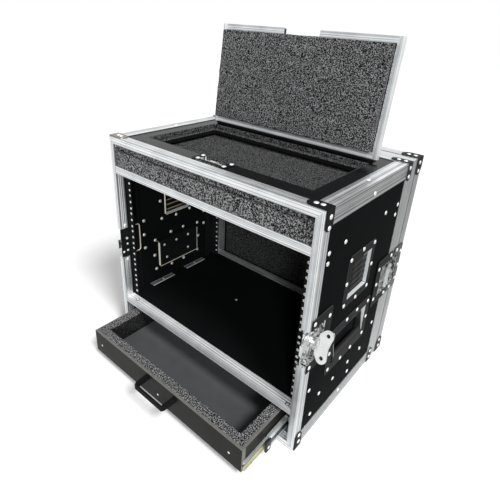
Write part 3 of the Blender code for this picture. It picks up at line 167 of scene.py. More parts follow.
# The backdrop is white, and what the metal mirrors of it too, but dimmer on the right, where the
# studio is open. An even, low light comes from all round.
backdrop_white, even_light, dimming, dims_from, dims_to = 1.0, 0.22, 0.56, 0.05, 0.75
world = bpy.data.worlds.new("studio")
bpy.context.scene.world = world
world.use_nodes = True
sky_tree = world.node_tree
sky_tree.nodes.clear()
sky_seen = seen_by(sky_tree, "Is Camera Ray", "Is Glossy Ray", "Is Transmission Ray")
sky_spot = add_node(sky_tree, "ShaderNodeTexCoord", output="Generated")
sky_place = add_node(sky_tree, "ShaderNodeSeparateXYZ", {}, {0: sky_spot})
open_side = add_node(sky_tree, "ShaderNodeMapRange", {}, {
    0: sky_place, 1: dims_from, 2: dims_to, 3: 0.0, 4: dimming})
mirrored = seen_by(sky_tree, "Is Glossy Ray")
shaded = add_node(sky_tree, "ShaderNodeMath", {"operation": "MULTIPLY"},
                  {0: open_side, 1: mirrored})
level = add_node(sky_tree, "ShaderNodeMix", {}, {0: sky_seen, 2: even_light, 3: backdrop_white})
strength = add_node(sky_tree, "ShaderNodeMath", {"operation": "SUBTRACT"}, {0: level, 1: shaded})
sky = add_node(sky_tree, "ShaderNodeBackground", {}, {"Color": (1, 1, 1), "Strength": strength})
add_node(sky_tree, "ShaderNodeOutputWorld", {}, {0: sky})

for lamp_name, energy, degrees, toward in (("high_soft_light", 2.35, 16, (0.60, -0.17, 0.78)),
                                           ("camera_fill", 1.6, 12, to_back)):
    lamp_data = bpy.data.lights.new(lamp_name, "SUN")
    lamp_data.energy = energy
    lamp_data.angle = math.radians(degrees)
    lamp = bpy.data.objects.new(lamp_name, lamp_data)
    lamp.matrix_world = Vector(toward).to_track_quat("Z", "Y").to_matrix().to_4x4()
    bpy.context.scene.collection.objects.link(lamp)


# Edge extrusions, capping channels and the hatch's edging. Satin anodised aluminium, mitred and
# riveted over the panels' edges. It is drawn lengthwise, so its fine lines run along each bar,
# and handling leaves it slightly cloudy.
class Wire:
    """A number or vector on its way through a material; the operators add Math nodes."""

    def __init__(self, finish, socket):
        self.finish = finish
        self.socket = socket

    def math(self, operation, *others):
        return self.finish.node("ShaderNodeMath", {"operation": operation},
                                dict(enumerate((self, *others))))

    def __add__(self, other):
        return self.math("ADD", other)

    def __sub__(self, other):
        return self.math("SUBTRACT", other)

    def __rsub__(self, other):
        return self.math("MULTIPLY", -1.0) + other

    def __mul__(self, other):
        return self.math("MULTIPLY", other)

    def __truediv__(self, other):
        return self.math("DIVIDE", other)

    def __abs__(self):
        return self.math("ABSOLUTE")

    def least(self, other):
        return self.math("MINIMUM", other)

    def most(self, other):
        return self.math("MAXIMUM", other)

    def rise(self, start, end):
        """Smoothly 0 to 1 as the value goes from start to end, which may be the lower."""
        sign = 1.0 if end > start else -1.0
        return self.finish.node("ShaderNodeMapRange", {"interpolation_type": "SMOOTHSTEP"},
                                {0: self * sign, 1: start * sign, 2: end * sign})

    def within(self, width):
        """1 within width of zero, falling to 0 half a width further."""
        return abs(self).rise(1.5 * width, width)


class Finish:
    """A material: one shader, and what varies it over the piece in the case's own lengths."""

    def __init__(self, name, turn=None, **fixed):
        self.material = bpy.data.materials.new(name)
        self.material.use_nodes = True
        self.tree = self.material.node_tree
        self.shader = self.tree.nodes["Principled BSDF"]
        for label, value in fixed.items():
            put_value(self.tree, self.shader.inputs[label.replace("_", " ")], value)
        spot = self.node("ShaderNodeTexCoord", output="Object")
        self.spot = self.node("ShaderNodeVectorMath", {"operation": "SUBTRACT"},
                              {0: spot, 1: tuple(HOME)})
        if turn:
            self.spot = self.node("ShaderNodeVectorRotate", {"rotation_type": "X_AXIS"}, {
                "Vector": self.spot, "Center": turn[0], "Angle": turn[1]})
        parts = self.node("ShaderNodeSeparateXYZ", {}, {0: self.spot}).socket.node.outputs
        self.x, self.y, self.z = (Wire(self, part) for part in parts)

    def node(self, kind, settings=None, values=None, output=0):
        """add_node for this material, with wires for sockets."""
        values = {key: getattr(value, "socket", value) for key, value in (values or {}).items()}
        return Wire(self, add_node(self.tree, kind, settings, values, output))

    def noise(self, scale, detail=2.0, stretch=(1.0, 1.0, 1.0)):
        """Cloudy noise, scale times to the metre, drawn out where stretch is under 1."""
        spot = self.node("ShaderNodeVectorMath", {"operation": "MULTIPLY"},
                         {0: self.spot, 1: stretch})
        return self.node("ShaderNodeTexNoise", {}, {"Vector": spot, "Scale": scale,
                                                    "Detail": detail})

    def blend(self, share, first, second):
        """Colour from first to second as share goes from 0 to 1."""
        return self.node("ShaderNodeMix", {"data_type": "RGBA"},
                         {0: share, 6: first, 7: second}, output=2)

    def vary(self, label, wire):
        """Feed one of the shader's inputs."""
        self.tree.links.new(wire.socket, self.shader.inputs[label])

    def relief(self, height, strength, depth):
        """Bump from a height between 0 and 1 that stands for depth metres."""
        self.vary("Normal", self.node("ShaderNodeBump", {}, {
            "Strength": strength, "Distance": depth, "Height": height}, output="Normal"))


def tint(red, green, blue):
    """Screen colour, 0 to 255, as the shader's linear colour."""
    return tuple((v / 255 / 12.92) if v < 10.3 else ((v / 255 + 0.055) / 1.055) ** 2.4
                 for v in (red, green, blue))


def dress(finish, *nodes):
    """Give CAD nodes a finish."""
    for node in nodes:
        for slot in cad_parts[node].material_slots:
            slot.material = finish.material


case_top, case_base, front, rear, half_width = 0.4965, -0.0015, -0.166, 0.166, 0.26
side_face = (0.2594, 0.2599)


def aluminium(name, runs, upright=None, painted=None, turn=None, metallic=0.82, lines=None):
    """Satin drawn aluminium, grooved and brushed along its run (0 x, 1 y, 2 z).

    upright gives the share of a second run, as on a frame's posts, and painted the mask of
    what is black: corner braces pressed over the frame, or a hinge's knuckles. lines masks
    the grooves between ribs, painted dark as their shade, and turn is the turn that lays an
    open lid's own directions along the axes. Outer faces of the sides carry painted shade.
    """
    finish = Finish(name, turn, Roughness=0.36, Specular_IOR_Level=0.02)
    tones = []
    for run in runs:
        across = tuple(0.0 if axis == run else 1.0 for axis in range(3))
        drawn = tuple(0.012 if axis == run else 1.0 for axis in range(3))
        grooves = finish.noise(330.0, 1.0, across).rise(0.40, 0.60)
        tones.append(grooves * 0.5 + finish.noise(1000.0, 3.0, drawn) * 0.5)
    tone = tones[0]
    if upright:
        share = upright(finish)
        tone = tones[0] * (1.0 - share) + tones[1] * share
    cloud = finish.noise(24.0, 4.0)
    level = (tone * 0.85 + cloud * 0.45 - 0.15).rise(0.1, 0.8)
    # Painted shade on the outer faces of the sides, and in the grooves between a side edge's ribs.
    shaded = abs(finish.x).rise(*side_face) * finish.y.rise(front + 0.023, front + 0.025) * 0.42
    if lines:
        shaded = shaded.most(lines(finish))
    colour = finish.blend(level, tint(172, 176, 179), tint(246, 248, 248))
    colour = finish.blend(shaded, colour, tint(70, 71, 70))
    rough = tone * 0.1 + cloud * 0.2 + 0.2
    if painted:
        black = painted(finish)
        peel = finish.noise(60.0, 3.0)
        colour = finish.blend(black, colour, finish.blend(peel, tint(20, 21, 22), tint(40, 41, 42)))
        finish.vary("Metallic", metallic - black * metallic)
    else:
        finish.shader.inputs["Metallic"].default_value = metallic
    finish.vary("Base Color", colour)
    finish.vary("Roughness", rough)
    finish.relief(tone, 0.25, 0.0004)
    return finish


def on_post(f):
    """1 on a frame's posts, up to the mitre, where a post meets the top or bottom bar."""
    to_bar = (case_top - f.z).least(f.z - case_base)
    return (to_bar - (half_width - abs(f.x))).rise(-0.0002, 0.0002) * abs(f.x).rise(0.2375, 0.238)


def on_braces(f):
    """1 on the corner braces that lie 1.5 mm proud of the rear frames."""
    start, end = 0.0003, 0.0006
    return (abs(f.x).rise(half_width + start, half_width + end)
            .most(f.z.rise(case_top + start, case_top + end))
            .most(f.z.rise(case_base - start, case_base - end)))


def on_knuckles(f):
    """1 on the hatch's hinge knuckles, within 4 mm of their pin."""
    off_y, off_z = f.y - hinge_y, f.z - hinge_z
    return (off_y * off_y + off_z * off_z).math("SQRT").rise(0.0044, 0.0036)


def edge_lines(f):
    """1 on the lines of painted shade between a side edge's ribs, 6.5 mm apart on its outer face.
    """
    from_edge = (case_top - f.z).least(f.z - case_base)
    return ((from_edge / 0.0065 + 0.25).math("FRACT").rise(0.80, 0.90)
            * abs(f.x).rise(*side_face))


hinge_y, hinge_z, hatch_turn = 0.103, 0.4981, math.radians(97)
dress(aluminium("aluminium_front", (0, 2), on_post), "front_frame_upper", "front_frame_lower")
dress(aluminium("aluminium_rear", (0, 2), on_post, on_braces), "rear_frame", "rear_lid_frame")
dress(aluminium("aluminium_bars", (0,), metallic=0.3), "shelf_edge", "well_edge")
dress(aluminium("aluminium_hatch", (0, 1), lambda f: abs(f.x).rise(0.2024, 0.2026), on_knuckles,
                ((0.0, hinge_y, hinge_z), hatch_turn), 0.4), "hatch_edging")
dress(aluminium("aluminium_side_edges", (1,), lines=edge_lines), "side_edge_top_left",
      "side_edge_top_right", "side_edge_bottom_left", "side_edge_bottom_right")


# Panels. Birch plywood of 9.5 mm with gloss black laminate on both faces, a little scuffed, and
# held by the edge extrusions. The cut edges of the top opening show their plies, and the rear lid
# has its two zinc-plated strike dishes let in.
latch_z, latch_half_height, latch_floor_x, latch_rim_x = 0.243, 0.0369, 0.2496, 0.2614
latch_walls = {"front": (front + 0.0526, front + 0.0522), "rear": (rear - 0.0526, rear - 0.0522),
               "lid": (rear + 0.0336, rear + 0.0332)}


def plate_reflection_flecks(finish):
    """Zinc plate with painted reflections of the springs and bolts in a recess: dark and bright
    flecks.
    """
    flecks = finish.noise(260.0, 2.0, (1.0, 1.0, 0.5)).rise(0.40, 0.58)
    return finish.blend(flecks, tint(92, 94, 94), tint(246, 248, 247))


def in_latch(f, end):
    """1 inside a latch dish, short of its end wall and between its floor and its flange."""
    return (abs(f.z - latch_z).rise(latch_half_height, latch_half_height - 0.0003)
            * f.y.rise(*latch_walls[end])
            * abs(f.x).rise(latch_floor_x, latch_floor_x + 0.0002)
            * abs(f.x).rise(latch_rim_x, latch_rim_x - 0.0002))


def laminate(name, bare=None, plated=None, gloss=0.001):
    """Gloss black laminate; bare masks cut edges that show plies, and plated zinc dishes, whose
    flecks are painted reflections.
    """
    finish = Finish(name, Roughness=0.2, Specular_IOR_Level=gloss)
    cloud = finish.noise(9.0, 3.0)
    grain = finish.noise(900.0, 2.0)
    scuffs = finish.noise(70.0, 6.0, (1.0, 0.08, 1.0)).rise(0.68, 0.76)
    black = finish.blend(cloud * 0.6 + grain * 0.4, tint(13, 14, 15), tint(25, 27, 27))
    black = finish.blend(scuffs * 0.35, black, tint(60, 61, 61))
    rough = cloud * 0.14 + scuffs * 0.15 + 0.12
    if bare:
        share = bare(finish)
        ply = ((finish.z * 5200.0).math("SINE") * 0.5 + 0.5).rise(0.3, 0.7)
        wood = finish.blend(ply, tint(96, 80, 60), tint(128, 108, 82))
        black = finish.blend(share, black, wood)
        rough = rough * (1.0 - share) + share * 0.75
    if plated:
        share = plated(finish)
        black = finish.blend(share, black, plate_reflection_flecks(finish))
        finish.vary("Metallic", share * 0.85)
    finish.vary("Base Color", black)
    finish.vary("Roughness", rough)
    finish.relief(grain, 0.05, 0.0002)
    return finish


ply_low, ply_high, soft_edge = 0.4858, 0.4947, 0.0003
dress(laminate("black_laminate"), "left_panel", "right_panel", "bottom_panel", "shelf_panel",
      "well_floor_panel")
dress(laminate("black_laminate_hatch", gloss=0.25), "hatch_panel")
# The lid's strike dishes are zinc plate with flecks of painted reflection.
dress(laminate("black_laminate_lid", plated=lambda f: in_latch(f, "lid"), gloss=0.25),
      "rear_lid_box")
dress(laminate("black_laminate_top", lambda f: f.z.rise(ply_low, ply_low + soft_edge)
               * f.z.rise(ply_high, ply_high - soft_edge), gloss=0.08), "top_panel")


# Foam. Charcoal open-cell sheet, knife-cut: a bed and a rim in the mixer well with a slot
# between them, a plug glued under the hatch, strips round the drawer and a slab in the lid.
def charcoal_foam(name, dark, light, shade_mask=None):
    """Open-cell foam between two tones, with cells of about 2 mm; the last mask dims its specks
    as painted shade.
    """
    finish = Finish(name, Roughness=0.96, Specular_IOR_Level=0.1)
    cells = finish.noise(430.0, 3.0)
    pores = finish.node("ShaderNodeTexVoronoi", {}, {"Vector": finish.spot, "Scale": 520.0})
    speck = (cells * 1.2 + pores * 0.3 - 0.13).rise(0.52, 0.80)
    if shade_mask:
        speck = speck * (1.0 - shade_mask(finish))
    patch = finish.noise(30.0, 3.0)
    tone = finish.blend(speck, dark, light)
    finish.vary("Base Color", finish.blend(patch * 0.35, tone, dark))
    finish.relief(speck, 0.6, 0.0015)
    return finish


def well_shade(f):
    """Behind its front strip the well is in its own shade, most of all in the slot."""
    in_slot = f.z.rise(0.4715, 0.4725) * f.z.rise(0.4840, 0.4830)
    return f.y.rise(-0.1500, -0.1450) * (in_slot * 0.9 + 0.6)


def drawer_shade(f):
    """The drawer's foam is in its own shade at the inner corner on the front left."""
    return (f.x.rise(-0.190, -0.192) * f.y.rise(-0.2485, -0.2465)
            * f.z.rise(0.0692, 0.0684) * 0.9)


foam_finish = charcoal_foam("charcoal_foam", tint(13, 13, 14), tint(160, 161, 162))
well_foam = charcoal_foam("charcoal_foam_well", tint(15, 15, 16), tint(176, 177, 178), well_shade)
drawer_foam = charcoal_foam("charcoal_foam_drawer", tint(17, 17, 18), tint(176, 177, 178),
                            drawer_shade)
dark_foam = charcoal_foam("charcoal_foam_deep", tint(14, 14, 15), tint(88, 89, 90))
rng = np.random.default_rng(7)
ripple_waves = rng.normal(0, 1, (10, 3)) * np.geomspace(60, 700, 10)[:, None]
ripple_phases = rng.uniform(0, 2 * np.pi, 10)


def ripple(points):
    """Unevenness, mostly within 1: a quarter of the sum of ten sine waves, from long to short."""
    return np.sin(points @ ripple_waves.T + ripple_phases).sum(-1) / 4


def ticks(start, end, edge, step):
    """Places from start to end, a step apart, with extra ones within edge of both ends."""
    inside = np.linspace(start + edge, end - edge, max(2, int((end - start) / step)))
    rim = np.array([0, 0.25, 0.6]) * edge
    return np.concatenate([start + rim, inside, (end - rim)[::-1]])


def rounded_block(name, low, high, edge=0.0012, step=0.004, uneven=0.0003, droop=0.0):
    """Block whose points are drawn onto a box with edges of the given radius.

    Each point p is clipped to the box less the radius r, and goes to clip(p) + r n with n the
    unit vector from clip(p) to p. The ripple of its place moves it along n by up to uneven, and
    droop lowers the upper front edge.
    """
    low, high = np.array(low), np.array(high)
    spans = [ticks(low[k], high[k], edge, step) for k in range(3)]
    points, quads, count = [], [], 0
    for axis in range(3):
        across, up = (axis + 1) % 3, (axis + 2) % 3
        u, v = np.meshgrid(spans[across], spans[up], indexing="ij")
        for side, wall in ((0, low[axis]), (1, high[axis])):
            grid = np.empty((*u.shape, 3))
            grid[..., axis], grid[..., across], grid[..., up] = wall, u, v
            index = np.arange(u.size).reshape(u.shape) + count
            ring = (index[:-1, :-1], index[1:, :-1], index[1:, 1:], index[:-1, 1:])
            quads.append(np.stack(ring if side else ring[::-1], -1).reshape(-1, 4))
            points.append(grid.reshape(-1, 3))
            count += u.size
    points = np.concatenate(points)
    inner = np.clip(points, low + edge, high - edge)
    out = points - inner
    out /= np.linalg.norm(out, axis=1, keepdims=True)
    points = inner + out * (edge + uneven * (ripple(points)[:, None] - 1))
    near_front = np.clip((low[1] + 0.008 - points[:, 1]) / 0.008, 0, 1)
    near_top = np.clip((points[:, 2] - high[2] + 0.012) / 0.012, 0, 1)
    points[:, 2] -= droop * near_front ** 2 * near_top
    return polygon_mesh(name, points, np.concatenate(quads))


def rectangle_path(low, high, count):
    """Points round a rectangle, the same share of each side in every rectangle."""
    share = np.arange(count) / count
    corner_x = np.array([low[0], high[0], high[0], low[0]])
    corner_y = np.array([low[1], low[1], high[1], high[1]])
    x = np.concatenate([a + (b - a) * share for a, b in zip(corner_x, np.roll(corner_x, -1))])
    y = np.concatenate([a + (b - a) * share for a, b in zip(corner_y, np.roll(corner_y, -1))])
    return np.stack([x, y], -1)


def foam_ring(name, outer, inner, bottom, top, uneven=0.0003):
    """Foam frame lofted between two rectangles.

    The section goes up the outer wall, in across the top, down the inner wall and back under,
    with a small round at each edge, and the ripple moves it up or down and in or out.
    """
    wide = min(abs(inner[0][0] - outer[0][0]), abs(inner[0][1] - outer[0][1]))
    edge = min(0.0012, 0.3 * wide, 0.3 * (top - bottom))
    up = np.linspace(bottom + edge, top - edge, 4)
    across = np.linspace(edge / wide, 1 - edge / wide, 14)
    cut = edge / wide * 0.3
    share = np.concatenate([0 * up, [cut], across, [1 - cut], 0 * up + 1, [1 - cut],
                            across[::-1], [cut]])
    high = np.concatenate([up, [top - edge * 0.3], 0 * across + top, [top - edge * 0.3],
                           up[::-1], [bottom + edge * 0.3], 0 * across + bottom,
                           [bottom + edge * 0.3]])
    near, far = rectangle_path(*outer, 90), rectangle_path(*inner, 90)
    flat = near[None] * (1 - share[:, None, None]) + far[None] * share[:, None, None]
    grid = np.concatenate([flat, np.broadcast_to(high[:, None, None], (*flat.shape[:2], 1))], -1)
    grid[..., 2] += uneven * ripple(grid) * np.where(high > (bottom + top) / 2, 1, 0)[:, None]
    return surface(name, grid[::-1], close_rows=True, close_columns=True)


def place(piece, finish, body):
    """Give a piece its finish and the body that it rides on."""
    piece.data.materials.append(finish.material)
    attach(piece, body)
    return piece


def as_foam(piece, finish, body, *nodes):
    """Place a foam piece, and let it stand for the CAD nodes."""
    place(piece, finish, body)
    if nodes:
        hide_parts(*nodes)


well_x, well_wall_x, well_front, well_back = 0.232, 0.2449, -0.1644, 0.1418
well_floor_z, bed_z, slot_top_z, rim_z = 0.4334, 0.4695, 0.4745, 0.4851
as_foam(rounded_block("foam_bed", (-well_x, well_front, well_floor_z), (well_x, well_back, bed_z),
                      droop=0.002), well_foam, "case", "well_foam")
as_foam(foam_ring("foam_rim", ((-well_wall_x, -0.1466), (well_wall_x, well_back)),
                  ((-0.190, -0.0955), (0.190, 0.0785)), slot_top_z, rim_z), well_foam, "case")
as_foam(rounded_block("foam_rim_front", (-well_x, well_front, 0.4718), (well_x, -0.1467, 0.4816)),
        foam_finish, "case")
as_foam(foam_ring("foam_lining", ((-0.2028, -0.1083), (0.2028, 0.0913)),
                  ((-0.2009, -0.1065), (0.2009, 0.0893)), 0.4853, 0.4950, 0.0001),
        well_foam, "case")
for side, x0, x1 in (("left", -well_wall_x, -0.2321), ("right", 0.2321, well_wall_x)):
    as_foam(rounded_block(f"foam_side_{side}", (x0, -0.1643, well_floor_z),
                          (x1, well_back, 0.4744)), foam_finish, "case")
as_foam(rounded_block("foam_back", (-0.2319, 0.1046, bed_z), (0.2319, 0.1417, slot_top_z)),
        foam_finish, "case")
as_foam(rounded_block("foam_lid", (-0.2486, 0.1931, 0.0099), (0.2486, 0.2130, 0.4851), 0.002,
                      0.006), dark_foam, "rear_lid", "rear_lid_foam")
drawer_mouth = ((-0.1987, -0.2472), (0.1987, -0.0028))
as_foam(foam_ring("foam_drawer", ((-0.2117, -0.2602), (0.2117, 0.0102)), drawer_mouth, 0.0208,
                  0.0704), drawer_foam, "drawer", "drawer_foam")
as_foam(foam_ring("foam_drawer_lap", ((-0.2160, -0.2645), (0.2160, 0.0145)), drawer_mouth, 0.0707,
                  0.0724, 0.0002), drawer_foam, "drawer")

# The hatch's plug is 17 mm thick; the real one gives way as the hatch shuts on the foam below,
# but this one keeps its shape.
plug_face, plug_back, plug_shut = -0.0187, -0.0017, -0.0123
hatch_plug = rounded_block("foam_hatch", (-0.2006, -0.2091, plug_face),
                           (0.2006, -0.0155, plug_back), 0.0035, 0.004, 0.0006)
swing = Matrix.Rotation(-hatch_turn, 4, "X")
hinge_axis = Vector((0, hinge_y, hinge_z)) + Vector(HOME)
hatch_plug.data.transform(Matrix.Translation(hinge_axis) @ swing @ Matrix.Translation(-HOME))
as_foam(hatch_plug, foam_finish, "hatch", "hatch_foam")
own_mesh(hatch_plug)


# Pressed and folded steel under black powder coat, riveted on: vents, handle and latch dishes,
# rack rails, corner braces, the drawer's bow handle and the hinge. The rims carry painted
# highlights, and the insides of the tubs are bare zinc plate whose bright tones are painted
# light: reflections in the latches and handles, and the lit walls of the vents.
def plate_reflection_streaks(finish):
    """Zinc plate with painted reflections of the upright arms beside it: sharp upright streaks."""
    streaks = finish.noise(260.0, 2.0, (1.0, 1.0, 0.16)).rise(0.42, 0.56)
    return finish.blend(streaks, tint(96, 99, 99), tint(244, 247, 247))


def brushed_lit_tone(finish):
    """Zinc plate on the wall of a tub, brushed along its depth, and painted bright as lit."""
    brushed = finish.noise(420.0, 2.0, (0.08, 1.0, 1.0))
    return finish.blend(brushed, tint(226, 233, 236), tint(252, 255, 255))


def black_steel(name, highlit=None, plated=None, rough=0.36, plate=plate_reflection_flecks, shine=0.8,
                pale=tint(250, 245, 232)):
    """Black powder coat, pale with painted highlights where the edge mask is 1, and bare zinc
    plate where plated is 1, its tone holding painted light.
    """
    finish = Finish(name, Roughness=rough, Specular_IOR_Level=0.02)
    peel = finish.noise(800.0, 2.0)
    cloud = finish.noise(22.0, 3.0)
    colour = finish.blend(cloud, tint(18, 19, 20), tint(34, 35, 36))
    if plated:
        metal = plated(finish)
        colour = finish.blend(metal, colour, plate(finish))
        finish.vary("Metallic", metal * shine)
    # Painted highlights on the edges, a little cloudy.
    if highlit:
        highlight = highlit(finish) * (cloud * 0.4 + 0.8)
        colour = finish.blend(highlight, colour, pale)
    finish.vary("Base Color", colour)
    finish.vary("Roughness", cloud * 0.18 + (rough - 0.08))
    finish.relief(peel, 0.14, 0.0003)
    return finish


def past_rectangle(f, centre, half_size):
    """How far a place is outside a rectangle in the side's plane, less than 0 inside."""
    return (abs(f.y - centre[0]) - half_size[0]).most(abs(f.z - centre[1]) - half_size[1])


vent_centre, vent_half, vent_flange = (0.001, 0.3165), (0.0375, 0.038), (0.0515, 0.0555)
handle_centre, handle_half, handle_flange = (0.003, 0.1735), (0.064, 0.035), (0.0815, 0.0525)
# The last is the share of painted highlight round the dishes' flanges.
vent_back, handle_back, rim_highlight = 0.2438, 0.2427, 0.05


def tub_back_highlight(f, centre, half_size, back):
    """1 on the painted highlights along the sides and lower edge of the back of a tub, seen
    from inside the case.
    """
    past = past_rectangle(f, centre, half_size)
    outer = (abs(f.y - centre[0]) - half_size[0]).rise(0.0008, 0.0010)
    return ((past - 0.0004).within(0.0008) * abs(f.x).rise(back, back - 0.0003)
            * (f.z - centre[1]).rise(half_size[1] - 0.0012, half_size[1] - 0.0016)).most(
                outer * abs(f.x).rise(0.2466, 0.2462))


def tub_wall(f, centre, half_size):
    """1 on the inner walls of a tub, between its floor and its flange."""
    return (past_rectangle(f, centre, half_size).within(0.0004)
            * abs(f.x).rise(0.2445, 0.2447) * abs(f.x).rise(0.2612, 0.2608))


# Vents: painted highlights on the rims, and painted light inside: only the rear and lower walls,
# which face the light, are bright zinc; the others keep the black coat.
vent_steel = black_steel(
    "black_steel_vents",
    lambda f: tub_back_highlight(f, vent_centre, vent_half, vent_back).most(
        past_rectangle(f, vent_centre, vent_flange).rise(0.0, 0.0003) * rim_highlight),
    lambda f: tub_wall(f, vent_centre, vent_half) * (
        (f.y - vent_centre[0]).rise(0.0, 0.005).most((f.z - vent_centre[1]).rise(-0.030, -0.035))),
    plate=brushed_lit_tone, shine=0.3)
dress(vent_steel, "vent_dish_left", "vent_dish_right")
# Handles: painted highlights on the rims, and painted reflections of the springs and rod on the
# zinc at the tub's rear end and along its top.
handle_steel = black_steel(
    "black_steel_handles",
    lambda f: tub_back_highlight(f, handle_centre, handle_half, handle_back).most(
        past_rectangle(f, handle_centre, handle_flange).rise(0.0, 0.0003) * rim_highlight),
    lambda f: past_rectangle(f, handle_centre, handle_half).rise(0.0004, 0.0001)
    * abs(f.x).rise(0.2443, 0.2444)
    * (f.y - handle_centre[0]).rise(0.044, 0.050).most(abs(f.z - 0.2025).rise(0.0075, 0.0065)),
    plate=plate_reflection_streaks, shine=0.3)
dress(handle_steel, "handle_dish_left", "handle_dish_right")
latch_steel = {}
for end in ("front", "rear"):
    # Latches: a faint painted highlight along the flanges' upper and lower edges, and painted
    # reflections on the zinc inside.
    latch_steel[end] = black_steel(
        f"black_steel_latches_{end}",
        lambda f: abs(f.z - latch_z).rise(0.0555, 0.0558) * rim_highlight
        * abs(f.x).rise(0.2600, 0.2603),
        lambda f: in_latch(f, end))
    dress(latch_steel[end], f"latch_dish_{end}_left", f"latch_dish_{end}_right")
# Hatch latch: painted reflections on the zinc inside, in upright streaks.
ledge_steel = black_steel("black_steel_ledge_latch", None,
                          lambda f: f.z.rise(0.4960, 0.4957) * abs(f.x).rise(0.0292, 0.0289),
                          plate=plate_reflection_streaks, shine=0.3)
dress(ledge_steel, "latch_dish_hatch")
plain_steel = black_steel("black_steel")
dress(plain_steel, "corner_brace_top_right", "corner_brace_bottom_left",
      "corner_brace_bottom_right", "hinge_leaf")
dress(black_steel("black_steel_bow", rough=0.55), "drawer_handle")
dress(black_steel("black_steel_rails", rough=0.5), "rack_rail_front_left",
      "rack_rail_front_right", "rack_rail_rear_left", "rack_rail_rear_right")


# Bright parts: rotors, wings, drawbars and slide members, stamped from zinc-plated steel. The
# plating is brushed by wear and slightly yellow on the inner slides. One corner brace has lost its
# black coat.
def zinc(name, low, high, rough=0.3, metallic=1.0):
    """Zinc plate between two tones, with soft clouds and fine brushing."""
    finish = Finish(name, Metallic=metallic, Roughness=rough)
    cloud = finish.noise(60.0, 3.0)
    brushed = finish.noise(700.0, 2.0, (1.0, 0.15, 1.0))
    finish.vary("Base Color", finish.blend(cloud, low, high))
    finish.vary("Roughness", brushed * 0.16 + (rough - 0.08))
    finish.relief(brushed, 0.08, 0.0002)
    return finish


dress(zinc("worn_brace", tint(108, 102, 90), tint(172, 163, 146), 0.4), "corner_brace_top_left")
dress(zinc("zinc_plate", tint(214, 217, 216), tint(246, 247, 246)),
      "latch_drawbar_front_left", "latch_drawbar_front_right", "latch_rotor_front_left",
      "latch_rotor_front_right", "latch_wing_front_left", "latch_wing_front_right",
      "latch_wing_rear_left", "latch_wing_rear_right", "latch_wing_hatch")
for part, low_tone, upper, lower in (("middle", tint(200, 204, 204), 0.0335, 0.0215),
                                     ("outer", tint(200, 204, 204), 0.0365, 0.0190),
                                     ("inner", tint(218, 216, 184), 0.0330, 0.0270)):
    races = Finish(f"zinc_slides_{part}", Metallic=0.6, Specular_IOR_Level=0.1)
    race_cloud = races.noise(60.0, 3.0)
    # Dark between the races: painted shade in the channel of each member.
    race = races.z.rise(upper, upper + 0.0006).most(races.z.rise(lower, lower - 0.0006))
    bright = races.blend(races.z.rise(0.028, 0.029), low_tone, tint(226, 230, 230))
    races.vary("Base Color", races.blend(race * (race_cloud * 0.4 + 0.7), tint(62, 66, 66), bright))
    races.vary("Roughness", race_cloud * 0.2 + 0.2)
    dress(races, f"slide_{part}_left", f"slide_{part}_right")


# Fold-away handles: a black rubber grip moulded on a steel bow. The grip has fine rings so
# that it doesn't slip; arms and rod stay bright.
bail = Finish("handle_bails", Roughness=0.45)
grip_x, grip_y, grip_z = 0.2558, 0.003, 0.1475
grip_mask = (abs(bail.z - grip_z).rise(0.0078, 0.0074)
             * abs(bail.y - grip_y).rise(0.0574, 0.0570))
bail_cloud = bail.noise(50.0, 3.0)
bail.vary("Base Color", bail.blend(grip_mask, tint(186, 188, 188), tint(24, 24, 25)))
bail.vary("Metallic", 1.0 - grip_mask)
bail.vary("Roughness", grip_mask * 0.3 + bail_cloud * 0.15 + 0.22)
dress(bail, "handle_bail_left", "handle_bail_right")

rubber = Finish("black_grip", Roughness=0.6, Specular_IOR_Level=0.35)
rubber_cloud = rubber.noise(120.0, 3.0)
rubber.vary("Base Color", rubber.blend(rubber_cloud, tint(20, 20, 21), tint(40, 40, 41)))
rubber.vary("Roughness", rubber_cloud * 0.2 + 0.5)


def turned(start, along, side, stations, radii, around=24):
    """Turned surface: start + s along + r(s) (cos a side + sin a other), a all the way round."""
    along, side = np.array(along, float), np.array(side, float)
    other = np.cross(along, side)
    angle = np.linspace(0, 2 * np.pi, around, endpoint=False)
    ring = np.cos(angle)[:, None] * side + np.sin(angle)[:, None] * other
    middle = np.array(start) + np.array(stations)[:, None] * along
    return middle[:, None] + np.array(radii)[:, None, None] * ring[None]


grip_reach, ring_pitch = 0.0572, 0.0038
grip_stations = np.linspace(-grip_reach, grip_reach, 230)
grip_rings = np.clip(3 * np.cos(grip_stations * 2 * np.pi / ring_pitch), -1, 1)
grip_radii = 0.00725 + 0.00035 * grip_rings
grip_radii[[0, -1]] = 0.0
grip_radii[[1, -2]] = 0.0062
for side, direction in (("left", -1), ("right", 1)):
    sleeve = surface(f"grip_sleeve_{side}", turned(
        (direction * grip_x, grip_y, grip_z), (0, 1, 0), (1, 0, 0), grip_stations,
        grip_radii)[::-1], close_columns=True)
    place(sleeve, rubber, f"handle_{side}")


# Rivets. Domed aluminium heads about 8.5 mm across hold every dish, brace, rail and channel,
# and their clenched tails show inside the case.
rivet_finish = zinc("rivet_heads", tint(236, 238, 237), tint(254, 254, 252), 0.3, 0.45)


